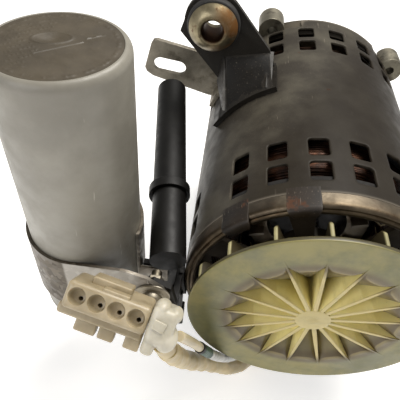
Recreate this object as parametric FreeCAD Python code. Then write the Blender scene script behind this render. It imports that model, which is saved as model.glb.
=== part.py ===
import FreeCAD, Part
import math
import os
from FreeCAD import Vector

# Fan-cooled blower motor with its run capacitor, hanging brackets and lead.
# Lengths are millimetres. The motor axis lies along Y: the fan wheel is at the
# low-Y end and the drive end of the shaft at the high-Y end. The capacitor
# stands along Z. Places are given from the centre of the fan wheel's front
# face; every piece is then moved so that the origin is the centre of the
# rubber isolator's bore, where the motor hangs.

os.makedirs("parts", exist_ok=True)

# ---- driving dimensions ----------------------------------------------------
SHELL_R = 63.5
SHELL_WALL = 1.6
SHELL_FRONT = 22.5
SHELL_REAR = 180.0
NOTCH_FLOOR = 168.5
NOTCH_HALF_ANGLE = 16.0

VENT_COUNT = 21
VENT_PITCH_ANGLE = 360.0 / VENT_COUNT
VENT_BLANKS = (4, 11, 18)
VENT_FIRST_ANGLE = -128.571
VENT_ROWS = (36.0, 52.0, 147.0, 163.0)
VENT_WIDTH = 9.5
VENT_LENGTH = 12.0
VENT_CORNER = 1.6

STAVE_COUNT = 7
STAVE_ANGLE = 360.0 / STAVE_COUNT
STAVE_FIRST_ANGLE = VENT_FIRST_ANGLE - VENT_PITCH_ANGLE / 2

TAB_ANGLES = (-44.0, -16.0, 76.0, 104.0, 196.0, 224.0)
TAB_HALF_ANGLE = 6.5
TAB_FRONT = 12.7
TAB_LIP_R = 57.5
TAB_SIDE_GAP = 0.3
SEAT_GAP = 0.15
TOUCH_GAP = 0.05

FRAME_FRONT = 14.3
FRAME_SPIGOT_R = SHELL_R - SHELL_WALL - 0.1
FRAME_INNER_R = 57.8
FRAME_ROUND = 2.0
FRONT_SPIGOT_END = 34.0
FRONT_WEB_Y = 27.0
FRONT_WEB_THICK = 3.0
FRONT_HUB_END = 45.0
HUB_R = 16.0
WINDOW_COUNT = 6
FRONT_WINDOW_R = (22.0, 51.0)
REAR_WINDOW_R = (22.0, 42.0)
WINDOW_FIRST_ANGLE = 12.4
WINDOW_ANGLE = 44.0

REAR_SPIGOT_Y = 164.0
REAR_WEB_Y = 180.0
REAR_WEB_END = 184.0
REAR_HUB_Y = 166.0
REAR_HUB_END = 191.0
LUG_ANGLES = (-27.6, 52.4, 152.4, 232.4)
LUG_CENTRE_R = 65.0
LUG_R = 8.2
LUG_HOLE_R = 2.6
LUG_Y = (170.0, 186.0)

BEARING_R = 9.0
BEARING_BORE_R = 6.03
FRONT_BEARING_Y = (28.0, 39.0)
REAR_BEARING_Y = (173.0, 188.0)
JOURNAL_R = 6.0
FRONT_JOURNAL_Y = (26.5, 48.0)
REAR_JOURNAL_Y = (163.0, 193.0)
FELT_R = 13.5
FELT_BORE_R = 7.8
FELT_POCKET = 6.0
FRONT_FELT_Y = (39.1, 43.4)
REAR_FELT_Y = (168.0, 171.9)
FRONT_CAP_Y = (43.5, 45.5)
REAR_CAP_Y = (165.5, 167.9)
WASHER_R = 9.0
FRONT_WASHER_Y = (50.0, 52.0)
REAR_WASHER_Y = (158.0, 160.0)
CORE_SHAFT_R = 7.0
FAN_STUB_R = 4.0
FAN_STUB_FRONT = 5.0
OUTPUT_R = 6.35
OUTPUT_END = 222.0

STACK_Y = (68.0, 132.0)
STACK_INNER_R = 36.0
SLOT_COUNT = 24
SLOT_DEPTH = 14.0
SLOT_WIDTH = 4.4
TOOTH_TIP = 1.5
ROTOR_R = 35.6
END_RING_R = 33.5
END_RING_INNER_R = 22.0
END_RING_LENGTH = 7.0
RING_FIN_COUNT = 10
RING_FIN_REACH = 5.0
WINDING_R = (38.0, 57.5)
WINDING_BEVEL = 4.0
FRONT_WINDING_Y = (40.0, 67.8)
REAR_WINDING_Y = (132.2, 160.0)
PROTECTOR_HALF_WIDTH = 7.0
PROTECTOR_THICK = 3.15
PROTECTOR_Y = (138.0, 156.0)
PROTECTOR_ANGLE = 120.0

FAN_R = 60.0
FAN_DISC_THICK = 2.2
DISH_MOUTH_R = 39.5
DISH_FLOOR_R = 8.0
DISH_DEPTH = 18.5
DISH_WALL = 1.9
DISH_SLOPE = DISH_DEPTH / (DISH_MOUTH_R - DISH_FLOOR_R)
MOULD_GAP = 0.06
FAN_HUB_R = 8.4
FAN_HUB_REAR = 26.0
FAN_HUB_DOME = 1.0
CLIP_Y = (22.0, 25.0)
CLIP_THICK = 1.1
RIB_COUNT = 17
RIB_FIRST_ANGLE = -6.4
RIB_THICK = 1.7
BLADE_REAR = 11.5
BLADE_INNER_R = 24.9

CAP_X = -112.0
CAP_Y = 22.5
CAP_R = 25.4
CAP_TOP = 115.0
CAP_BOTTOM = -20.0
CAP_WALL = 1.6
CAP_ROUND = 1.5
CAP_RECESS = 0.7
CAP_LID_THICK = 1.5
LID_R = CAP_R - CAP_ROUND - 0.4
CAP_BASE_THICK = 3.0
CAP_ELEMENT_Z = (-16.0, 103.0)
TERMINAL_SPACING = 16.0
TERMINAL_WIDTH = 6.3
TERMINAL_THICK = 0.8
TERMINAL_LENGTH = 9.0

STRAP_Z = (-7.5, 27.5)
STRAP_INNER_R = CAP_R + 0.15
STRAP_THICK = 1.4
STRAP_LEG_END = -68.0
STRAP_TAIL_END = -72.0
STRAP_TAIL_SETBACK = 6.0
CURL_R = 2.2
SCREW_X = -75.7
SCREW_Z = 12.0
SCREW_R = 2.5
SCREW_END_Y = 8.0
SCREW_HEAD_R = 4.6
SCREW_HEAD_THICK = 2.8
WASHER_THICK = 1.6
STRAP_WASHER_R = 8.0
NUT_THICK = 3.6

BRACKET_THICK = 3.0
BRACKET_BACK_Y = 22.0
BRACKET_TOP = 2.0
BRACKET_LEFT = -84.6
WEB_X = (-67.5, -64.5)
EAR_LEFT = -84.0
LEG_X = (-69.5, -63.5)
LEG_Y = (13.5, 18.5)
LEG_BOTTOM = -36.0
BUMPER_WALL = 1.2
BUMPER_Z = (-44.0, -30.0)
BUMPER_BEVEL = 1.5

STRUT_R = 8.8
STRUT_START = Vector(-71.5, 13.0, 14.5)
STRUT_END = Vector(-89.0, 140.0, 29.0)
STRUT_WALL = 2.0
STRUT_COLLAR_R = 10.8
STRUT_COLLAR_PLACE = (38.5, 44.0)

ISO_X = -65.0
ISO_Z = 80.5
PLATE_Y = (123.0, 126.0)
ISO_CENTRE = Vector(ISO_X, sum(PLATE_Y) / 2, ISO_Z)
SLEEVE_BORE_R = 5.4
SLEEVE_R = 7.6
SLEEVE_Y = (112.5, 136.5)
SLEEVE_FLANGE_R = 13.0
GROMMET_R = 14.2
GROMMET_NECK_R = 11.5
GROMMET_FLANGE = 4.5
SLEEVE_FLANGE_THICK = 1.8
SLEEVE_NOSE_R = 9.0
PLATE_ROUND_R = 16.0
FOOT_FRONT = 101.0
FOOT_THICK = 2.85
CHEEK_THICK = 2.0
SKIRT_ANGLES = (-52.0, -39.5, -27.0)

TENSION_Y = (148.5, 151.5)
SLOT_CENTRE = (-92.0, 37.0)
SLOT_TILT = -7.0
TENSION_SLOT_R = 4.6
TENSION_SLOT_LENGTH = 21.0

CONNECTOR_PLACE = Vector(-89.4, -26.9, 35.3)
CONNECTOR_ROW = Vector(0.9735, -0.1476, -0.1756)
CONNECTOR_FACING = Vector(0.026, -0.689, 0.724)
CIRCUITS = 4
CIRCUIT_PITCH = 8.0
SOCKET_R = 3.3
SOCKET_DEPTH = 10.0
HOUSING_HALF_HEIGHT = 5.6
HOUSING_DEPTH = 20.0
HOUSING_HALF_LENGTH = 17.0
LEDGE_HEIGHT = 3.4
LEDGE_X = (-18.5, 17.0)
LEDGE_Z = (-19.0, -3.0)
FOOT_HEIGHT = 4.6
HOUSING_FEET = ((-10.0, -1.2), (-0.2, 6.4), (10.5, 17.0))
CONTACT_R = 1.2
CONTACT_LENGTH = 14.0
LOCK_END = 29.5
LOCK_Y = (-12.5, 10.5)
LOCK_Z = (-14.0, 2.0)
LOCK_ROUND = 2.5

SLEEVING_D = 9.0
LEAD_D = 4.5
# The lead's route from the elbow boot under the shell, round the fan wheel's
# lower edge and up to the connector; the second lead runs above it.
SLEEVING_ROUTE = (
    (-4.0, 33.0, -82.0),
    (-12.0, 24.4, -84.1),
    (-20.7, 15.1, -81.8),
    (-30.1, 5.0, -73.8),
    (-46.5, -1.8, -55.6),
    (-58.2, -14.8, -28.0),
    (-65.3, -24.4, -0.5),
    (-67.6, -27.2, 14.0),
)
LEAD_ROUTE = (
    (3.5, 33.0, -76.5),
    (-7.0, 25.0, -74.5),
    (-18.0, 16.5, -70.8),
    (-29.0, 8.0, -63.5),
    (-38.5, 0.0, -52.5),
    (-47.9, -8.6, -28.5),
    (-55.4, -17.8, -1.5),
    (-60.6, -25.6, 18.0),
)
BOOT_TURN_Z = -79.0
BOOT_R = 9.0
BOOT_STEM_R = 7.4
BOOT_Y = 44.0
BOOT_FLANGE_THICK = 3.0
BOOT_MOUTH_LENGTH = 15.0


# ---- helpers ---------------------------------------------------------------
def polar(radius, degrees, y):
    """A point at a radius and an angle from +Z towards +X about the axis."""
    angle = math.radians(degrees)
    return Vector(radius * math.sin(angle), y, radius * math.cos(angle))


def rod(radius, y_from, y_to, x=0.0, z=0.0):
    """A cylinder parallel to the motor axis."""
    return Part.makeCylinder(radius, y_to - y_from, Vector(x, y_from, z), Vector(0, 1, 0))


def tube(outer, inner, y_from, y_to, x=0.0, z=0.0):
    """A hollow cylinder parallel to the motor axis."""
    return rod(outer, y_from, y_to, x, z).cut(rod(inner, y_from - 1, y_to + 1, x, z))


def sector(inner, outer, angle_from, angle_to, y_from, y_to):
    """A piece of a tube about the motor axis between two angles."""
    middle = (angle_from + angle_to) / 2
    outer_arc = Part.Arc(polar(outer, angle_from, y_from), polar(outer, middle, y_from),
                         polar(outer, angle_to, y_from))
    inner_arc = Part.Arc(polar(inner, angle_to, y_from), polar(inner, middle, y_from),
                         polar(inner, angle_from, y_from))
    side_to = Part.LineSegment(polar(outer, angle_to, y_from), polar(inner, angle_to, y_from))
    side_from = Part.LineSegment(polar(inner, angle_from, y_from), polar(outer, angle_from, y_from))
    wire = Part.Wire([outer_arc.toShape(), side_to.toShape(), inner_arc.toShape(), side_from.toShape()])
    return Part.Face(wire).extrude(Vector(0, y_to - y_from, 0))


def box(x_from, x_to, y_from, y_to, z_from, z_to):
    """A box between two corners."""
    return Part.makeBox(x_to - x_from, y_to - y_from, z_to - z_from, Vector(x_from, y_from, z_from))


def turned(profile):
    """A solid turned about the motor axis from (radius, y) corners."""
    corners = [Vector(radius, y, 0) for radius, y in profile]
    face = Part.Face(Part.makePolygon(corners + corners[:1]))
    return face.revolve(Vector(0, 0, 0), Vector(0, 1, 0), 360)


def sheet_across(outline, y_from, y_to):
    """A flat plate square to the motor axis from (x, z) corners."""
    corners = [Vector(x, y_from, z) for x, z in outline]
    face = Part.Face(Part.makePolygon(corners + corners[:1]))
    return face.extrude(Vector(0, y_to - y_from, 0))


def sheet_along(outline, x_from, x_to):
    """A flat plate along the motor axis from (y, z) corners."""
    corners = [Vector(x_from, y, z) for y, z in outline]
    face = Part.Face(Part.makePolygon(corners + corners[:1]))
    return face.extrude(Vector(x_to - x_from, 0, 0))


def slab(corners, thickness):
    """A flat plate from corners in one plane, thickened along its normal."""
    points = [Vector(*corner) for corner in corners]
    normal = (points[1] - points[0]).cross(points[2] - points[1])
    normal.normalize()
    face = Part.Face(Part.makePolygon(points + points[:1]))
    return face.extrude(normal * thickness)


def spun(shape, degrees):
    """A copy turned about the motor axis, from +Z towards +X."""
    copy = shape.copy()
    copy.rotate(Vector(0, 0, 0), Vector(0, 1, 0), degrees)
    return copy


def joined(first, others):
    """One solid from pieces that overlap."""
    whole = first.fuse(others)
    return whole.removeSplitter()


def cord_wire(route, name, diameter):
    """Straight runs joined by tangent arcs, with the bend radii printed."""
    points = [Vector(*point) for point in route]
    edges = []
    last = points[0]
    radii = []
    for before, corner, after in zip(points, points[1:], points[2:]):
        incoming = corner - before
        outgoing = after - corner
        half_turn = incoming.getAngle(outgoing) / 2
        trim = 0.45 * min(incoming.Length, outgoing.Length)
        radius = trim / math.tan(half_turn)
        radii.append(round(radius / diameter, 1))
        start = corner - incoming.normalize() * trim
        end = corner + outgoing.normalize() * trim
        inward = (start + end) * 0.5 - corner
        centre_distance = radius / math.cos(half_turn)
        middle = corner + inward.normalize() * (centre_distance - radius)
        edges.append(Part.LineSegment(last, start).toShape())
        edges.append(Part.Arc(start, middle, end).toShape())
        last = end
    edges.append(Part.LineSegment(last, points[-1]).toShape())
    wire = Part.Wire(edges)
    print(name, "length", round(wire.Length, 1), "bend radii in diameters", radii)
    return wire


def cord_tube(route, name, diameter):
    """A cord's solid: a round section swept along its route."""
    wire = cord_wire(route, name, diameter)
    start = Vector(*route[0])
    heading = Vector(*route[1]) - start
    section = Part.Wire(Part.makeCircle(diameter / 2, start, heading))
    solid = wire.makePipeShell([section], True, False)
    expected = math.pi * diameter ** 2 / 4 * wire.Length
    print(name, "volume ratio", round(solid.Volume / expected, 4))
    return solid


# ---- motor, standing pieces ------------------------------------------------
def vent_cutters():
    """The ventilation holes: rows of rounded rectangles with blanks between groups."""
    outside = 2.0
    height = SHELL_WALL + 2 * outside
    block = box(-VENT_WIDTH / 2, VENT_WIDTH / 2, -VENT_LENGTH / 2, VENT_LENGTH / 2,
                SHELL_R + outside - height, SHELL_R + outside)
    upright = [edge for edge in block.Edges if abs(edge.BoundBox.ZLength - height) < 0.01]
    block = block.makeFillet(VENT_CORNER, upright)
    cutters = []
    for row in VENT_ROWS:
        for position in range(VENT_COUNT):
            if position in VENT_BLANKS:
                continue
            hole = block.copy()
            hole.translate(Vector(0, row, 0))
            cutters.append(spun(hole, VENT_FIRST_ANGLE + position * VENT_PITCH_ANGLE))
    return cutters


def motor_shell():
    """The rolled shell, held as staves that meet edge to edge between the columns of vents."""
    shell = tube(SHELL_R, SHELL_R - SHELL_WALL, SHELL_FRONT, SHELL_REAR)
    cutters = vent_cutters()
    inside, outside = TAB_LIP_R - 2, SHELL_R + 2
    for angle in LUG_ANGLES:
        cutters.append(sector(inside, outside, angle - NOTCH_HALF_ANGLE,
                              angle + NOTCH_HALF_ANGLE, NOTCH_FLOOR, SHELL_REAR + 1))
    cutters.append(Part.makeCylinder(BOOT_STEM_R + 0.1, outside - inside, Vector(0, BOOT_Y, -outside)))
    shell = shell.cut(cutters)
    tabs = []
    for angle in TAB_ANGLES:
        low = angle - TAB_HALF_ANGLE
        high = angle + TAB_HALF_ANGLE
        tabs.append(sector(SHELL_R - SHELL_WALL, SHELL_R, low, high, TAB_FRONT, SHELL_FRONT + 1))
        tabs.append(sector(TAB_LIP_R, SHELL_R, low, high, TAB_FRONT, FRAME_FRONT - TOUCH_GAP))
    shell = joined(shell, tabs)
    staves = []
    for index in range(STAVE_COUNT):
        low = STAVE_FIRST_ANGLE + index * STAVE_ANGLE
        wedge = sector(inside, outside, low, low + STAVE_ANGLE, TAB_FRONT - 1, SHELL_REAR + 1)
        staves.append(shell.common(wedge))
    return Part.makeCompound([solid for stave in staves for solid in stave.Solids])


def end_frame_windows(reach, y_from, y_to):
    """Openings between an end frame's spokes, over a range of radii."""
    inner, outer = reach
    windows = []
    for index in range(WINDOW_COUNT):
        middle = WINDOW_FIRST_ANGLE + index * 360 / WINDOW_COUNT
        low = middle - WINDOW_ANGLE / 2
        windows.append(sector(inner, outer, low, low + WINDOW_ANGLE, y_from, y_to))
    return windows


def front_end_frame():
    web_end = FRONT_WEB_Y + FRONT_WEB_THICK
    shoulder = SHELL_FRONT - 2 * TOUCH_GAP
    rim = turned([
        (FRAME_INNER_R, FRAME_FRONT), (SHELL_R - FRAME_ROUND, FRAME_FRONT),
        (SHELL_R - FRAME_ROUND * 0.3, FRAME_FRONT + FRAME_ROUND * 0.3),
        (SHELL_R, FRAME_FRONT + FRAME_ROUND), (SHELL_R, shoulder), (FRAME_SPIGOT_R, shoulder),
        (FRAME_SPIGOT_R, FRONT_SPIGOT_END), (FRAME_INNER_R, FRONT_SPIGOT_END),
    ])
    web = rod(FRAME_INNER_R + 0.5, FRONT_WEB_Y, web_end)
    hub = rod(HUB_R, FRONT_WEB_Y, FRONT_HUB_END)
    frame = joined(rim, [web, hub])
    cutters = end_frame_windows(FRONT_WINDOW_R, FRONT_WEB_Y - 1, web_end + 1)
    cutters.append(rod(BEARING_R, FRONT_WEB_Y - 1, FRONT_HUB_END + 1))
    cutters.append(rod(FELT_R, FRONT_HUB_END - FELT_POCKET, FRONT_HUB_END + 1))
    half = TAB_HALF_ANGLE + TAB_SIDE_GAP
    for angle in TAB_ANGLES:
        cutters.append(sector(SHELL_R - SHELL_WALL - TOUCH_GAP, SHELL_R + 2, angle - half, angle + half,
                              FRAME_FRONT - 1, SHELL_FRONT))
    return frame.cut(cutters)


def rear_end_frame():
    cup = tube(FRAME_SPIGOT_R, FRAME_INNER_R, REAR_SPIGOT_Y, REAR_WEB_END)
    web = rod(FRAME_INNER_R + 0.5, REAR_WEB_Y, REAR_WEB_END)
    hub = rod(HUB_R, REAR_HUB_Y, REAR_HUB_END)
    frame = joined(cup, [web, hub])
    cutters = end_frame_windows(REAR_WINDOW_R, REAR_WEB_Y - 1, REAR_WEB_END + 1)
    cutters.append(rod(BEARING_R, REAR_HUB_Y - 1, REAR_HUB_END + 1))
    cutters.append(rod(FELT_R, REAR_HUB_Y - 1, REAR_HUB_Y + FELT_POCKET))
    return frame.cut(cutters)


def rear_lugs():
    """Four bosses on the rear end frame's edge, each with a through hole for a fixing screw."""
    seat = rod(FRAME_SPIGOT_R, LUG_Y[0] - 1, LUG_Y[1] + 1)
    lugs = []
    for angle in LUG_ANGLES:
        centre = polar(LUG_CENTRE_R, angle, 0)
        lug = rod(LUG_R, LUG_Y[0], LUG_Y[1], centre.x, centre.z)
        hole = rod(LUG_HOLE_R, LUG_Y[0] - 1, LUG_Y[1] + 1, centre.x, centre.z)
        lugs.append(lug.cut([seat, hole]))
    return Part.makeCompound(lugs)


def stator_core():
    core = tube(FRAME_SPIGOT_R, STACK_INNER_R, STACK_Y[0], STACK_Y[1])
    slots = []
    for index in range(SLOT_COUNT):
        slot = box(-SLOT_WIDTH / 2, SLOT_WIDTH / 2, STACK_Y[0] - 1, STACK_Y[1] + 1,
                   STACK_INNER_R + TOOTH_TIP, STACK_INNER_R + TOOTH_TIP + SLOT_DEPTH)
        slots.append(spun(slot, index * 360 / SLOT_COUNT))
    return core.cut(slots)


def winding(y_from, y_to):
    """A coil end: a rounded ring of wire."""
    inner, outer = WINDING_R
    bevel = WINDING_BEVEL
    return turned([
        (inner, y_from + bevel), (inner + bevel, y_from), (outer - bevel, y_from),
        (outer, y_from + bevel), (outer, y_to - bevel), (outer - bevel, y_to),
        (inner + bevel, y_to), (inner, y_to - bevel),
    ])


def thermal_protector():
    seat = WINDING_R[1] + TOUCH_GAP
    holder = box(-PROTECTOR_HALF_WIDTH, PROTECTOR_HALF_WIDTH, PROTECTOR_Y[0], PROTECTOR_Y[1],
                 seat, seat + PROTECTOR_THICK)
    return spun(holder, PROTECTOR_ANGLE)


# ---- rotor -----------------------------------------------------------------
def shaft():
    bevel = 0.5
    front_from, front_to = FRONT_JOURNAL_Y
    rear_from, rear_to = REAR_JOURNAL_Y
    return turned([
        (0, FAN_STUB_FRONT), (FAN_STUB_R - bevel, FAN_STUB_FRONT), (FAN_STUB_R, FAN_STUB_FRONT + bevel),
        (FAN_STUB_R, front_from), (JOURNAL_R, front_from), (JOURNAL_R, front_to), (CORE_SHAFT_R, front_to),
        (CORE_SHAFT_R, rear_from), (JOURNAL_R, rear_from), (JOURNAL_R, rear_to), (OUTPUT_R, rear_to),
        (OUTPUT_R, OUTPUT_END - 2 * bevel), (OUTPUT_R - 2 * bevel, OUTPUT_END), (0, OUTPUT_END),
    ])


def end_ring(seat, direction):
    """A cast ring at an end of the rotor, with small fins that stir the air."""
    face = seat + direction * END_RING_LENGTH
    tip = face + direction * RING_FIN_REACH
    ring = tube(END_RING_R, END_RING_INNER_R, min(seat, face), max(seat, face))
    root = face - direction
    fins = []
    for index in range(RING_FIN_COUNT):
        fin = box(-1, 1, min(root, tip), max(root, tip), END_RING_INNER_R + 2, END_RING_R - 1)
        fins.append(spun(fin, index * 360 / RING_FIN_COUNT))
    return joined(ring, fins)


def fan_wheel():
    """The moulded disc with its dish and hub; ribs stand in the dish and blades on the back."""
    back_r = DISH_MOUTH_R + 1.0
    floor = DISH_DEPTH + DISH_WALL
    wheel = turned([
        (0, -FAN_HUB_DOME), (FAN_HUB_R - 3.4, -0.6), (FAN_HUB_R - 0.8, 0.2), (FAN_HUB_R, 1.2),
        (FAN_HUB_R, DISH_DEPTH), (DISH_FLOOR_R + 1.0, DISH_DEPTH), (DISH_MOUTH_R, 0), (FAN_R - 0.6, 0),
        (FAN_R, 0.6), (FAN_R, FAN_DISC_THICK), (back_r, FAN_DISC_THICK),
        (back_r - (floor - FAN_DISC_THICK) / DISH_SLOPE, floor), (FAN_HUB_R, floor),
        (FAN_HUB_R, FAN_HUB_REAR), (0, FAN_HUB_REAR),
    ])
    return wheel.cut(rod(FAN_STUB_R, FAN_STUB_FRONT, FAN_HUB_REAR + 1))


def spaced_plates(corners):
    """The fan's radial plates, one at each rib angle, from (y, radius) corners."""
    outline = [Vector(-RIB_THICK / 2, y, radius) for y, radius in corners]
    plate = Part.Face(Part.makePolygon(outline + outline[:1])).extrude(Vector(RIB_THICK, 0, 0))
    plates = [spun(plate, RIB_FIRST_ANGLE + index * 360 / RIB_COUNT) for index in range(RIB_COUNT)]
    return Part.makeCompound(plates)


def fan_ribs():
    """Ribs across the dish, from the hub out to the dish's mouth."""
    return spaced_plates([
        (0.3, FAN_HUB_R + MOULD_GAP), (0.3, DISH_MOUTH_R - 0.6 - MOULD_GAP),
        (DISH_DEPTH - 0.2, DISH_FLOOR_R + 1.2), (DISH_DEPTH - 0.2, FAN_HUB_R + MOULD_GAP),
    ])


def fan_blades():
    """Radial blades on the back of the disc that move the cooling air."""
    front = FAN_DISC_THICK + 0.05
    return spaced_plates([
        (front, FAN_R - 0.2), (BLADE_REAR - 2.5, FAN_R - 0.2), (BLADE_REAR, FAN_R - 2.0),
        (BLADE_REAR, BLADE_INNER_R), (front, DISH_MOUTH_R + 1.0),
    ])


# ---- capacitor and its clamp -----------------------------------------------
def upright(radius, z_from, z_to):
    """A cylinder on the capacitor's own axis."""
    return Part.makeCylinder(radius, z_to - z_from, Vector(CAP_X, CAP_Y, z_from))


def capacitor_can():
    body = upright(CAP_R, CAP_BOTTOM, CAP_TOP)
    top_edge = [edge for edge in body.Edges if edge.BoundBox.ZMin > CAP_TOP - 0.1]
    body = body.makeFillet(CAP_ROUND, top_edge)
    lid_bottom = CAP_TOP - CAP_RECESS - CAP_LID_THICK
    recess = upright(LID_R + 0.1, lid_bottom, CAP_TOP + 1)
    cavity = upright(CAP_R - CAP_WALL, CAP_BOTTOM - 1, lid_bottom - CAP_LID_THICK)
    return body.cut([recess, cavity])


def capacitor_end_disc():
    return upright(LID_R, CAP_TOP - CAP_RECESS - CAP_LID_THICK, CAP_TOP - CAP_RECESS)


def capacitor_terminals():
    top = CAP_BOTTOM - CAP_BASE_THICK
    half_width = TERMINAL_WIDTH / 2
    half_thick = TERMINAL_THICK / 2
    blades = []
    for centre in (CAP_X - TERMINAL_SPACING / 2, CAP_X + TERMINAL_SPACING / 2):
        blades.append(box(centre - half_width, centre + half_width, CAP_Y - half_thick, CAP_Y + half_thick,
                          top - TERMINAL_LENGTH, top))
    return Part.makeCompound(blades)


def capacitor_strap():
    outer = STRAP_INNER_R + STRAP_THICK
    low, high = STRAP_Z
    band = upright(outer, low, high).cut(upright(STRAP_INNER_R, low - 1, high + 1))
    tail_front = CAP_Y - STRAP_TAIL_SETBACK
    mouth = box(CAP_X, CAP_X + outer + 1, CAP_Y - outer - 1, tail_front, low - 1, high + 1)
    band = band.cut(mouth)
    front = CAP_Y - outer
    leg = sheet_across([
        (CAP_X - 0.5, low), (STRAP_LEG_END, low), (STRAP_LEG_END, 10.0), (-71.0, 18.0),
        (-78.0, 24.0), (-88.0, high), (CAP_X - 0.5, high),
    ], front, front + STRAP_THICK)
    curl_length = 10.5
    curl = Part.makeCylinder(CURL_R, curl_length, Vector(STRAP_LEG_END - 0.6, front - 0.9, low))
    tail = box(CAP_X + STRAP_INNER_R - 0.4, STRAP_TAIL_END, tail_front, tail_front + STRAP_THICK,
               low, BRACKET_TOP)
    strap = joined(band, [leg, curl, tail])
    hole = rod(SCREW_R + 0.1, front - 1, front + STRAP_THICK + 1, SCREW_X, SCREW_Z)
    return strap.cut(hole)


def capacitor_bracket():
    """A folded plate: back wall, side web on the end frame's rim, front ear and a leg."""
    back_y = BRACKET_BACK_Y
    front = CAP_Y - STRAP_INNER_R + TOUCH_GAP
    back = sheet_across([
        (BRACKET_LEFT, BRACKET_TOP), (WEB_X[1], BRACKET_TOP), (WEB_X[1], -24.0), (-72.0, -22.0),
        (BRACKET_LEFT, -9.0),
    ], back_y - BRACKET_THICK, back_y)
    web_bottom = -14.0
    web = box(WEB_X[0], WEB_X[1], front, back_y, web_bottom, BRACKET_TOP)
    ear = sheet_across([
        (EAR_LEFT, -7.0), (WEB_X[1], web_bottom), (WEB_X[1], BRACKET_TOP), (WEB_X[1] - 3, 16.0),
        (SCREW_X, 20.0), (EAR_LEFT, 14.0),
    ], front, front + BRACKET_THICK)
    leg = box(LEG_X[0], LEG_X[1], LEG_Y[0], LEG_Y[1], LEG_BOTTOM, web_bottom)
    pad = sector(SHELL_R + SEAT_GAP, SHELL_R + 2.6, -104.0, -87.0, FRAME_FRONT + 1.0, back_y)
    bracket = joined(back, [web, ear, leg, pad])
    hole = rod(SCREW_R + 0.1, front - 1, front + BRACKET_THICK + 1, SCREW_X, SCREW_Z)
    return bracket.cut(hole)


def bracket_bumper():
    """A rubber tip pushed on the bracket's leg."""
    bottom, top = BUMPER_Z
    tip = box(LEG_X[0] - BUMPER_WALL, LEG_X[1] + BUMPER_WALL, LEG_Y[0] - BUMPER_WALL, LEG_Y[1] + BUMPER_WALL,
              bottom, top)
    lower = [edge for edge in tip.Edges if edge.BoundBox.ZMax < bottom + 0.1]
    tip = tip.makeChamfer(BUMPER_BEVEL, lower)
    return tip.cut(box(LEG_X[0], LEG_X[1], LEG_Y[0], LEG_Y[1], LEG_BOTTOM, top + 1))


def strap_screw():
    seat = CAP_Y - STRAP_INNER_R - STRAP_THICK - WASHER_THICK
    head = rod(SCREW_HEAD_R, seat - SCREW_HEAD_THICK, seat, SCREW_X, SCREW_Z)
    shank = rod(SCREW_R, seat - 0.4, SCREW_END_Y, SCREW_X, SCREW_Z)
    return joined(head, [shank])


def strap_washer():
    front = CAP_Y - STRAP_INNER_R - STRAP_THICK
    return tube(STRAP_WASHER_R, SCREW_R + TOUCH_GAP, front - WASHER_THICK, front, SCREW_X, SCREW_Z)


def strap_nut():
    seat = CAP_Y - STRAP_INNER_R + TOUCH_GAP + BRACKET_THICK
    corners = []
    for index in range(6):
        angle = math.radians(60 * index)
        corners.append((SCREW_X + SCREW_HEAD_R * math.cos(angle), SCREW_Z + SCREW_HEAD_R * math.sin(angle)))
    nut = sheet_across(corners, seat, seat + NUT_THICK)
    return nut.cut(rod(SCREW_R, seat - 1, seat + NUT_THICK + 1, SCREW_X, SCREW_Z))


# ---- strut, hanging bracket, tension tab -----------------------------------
def along_strut(radius, distance_from, distance_to):
    heading = (STRUT_END - STRUT_START).normalize()
    start = STRUT_START + heading * distance_from
    return Part.makeCylinder(radius, distance_to - distance_from, start, heading)


def support_strut():
    length = (STRUT_END - STRUT_START).Length
    body = along_strut(STRUT_R, 0, length - STRUT_R * 0.6)
    dome = Part.makeSphere(STRUT_R, STRUT_END - (STRUT_END - STRUT_START).normalize() * STRUT_R)
    foot = box(-78.0, -68.0, 19.0, 26.0, BRACKET_TOP + TOUCH_GAP, 12.0)
    strut = joined(body, [dome, foot])
    return strut.cut(along_strut(STRUT_R - STRUT_WALL, 2 * STRUT_WALL, length - STRUT_R * 1.6))


def strut_collar():
    low, high = STRUT_COLLAR_PLACE
    return along_strut(STRUT_COLLAR_R, low, high).cut(along_strut(STRUT_R + 0.02, low - 1, high + 1))


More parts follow.
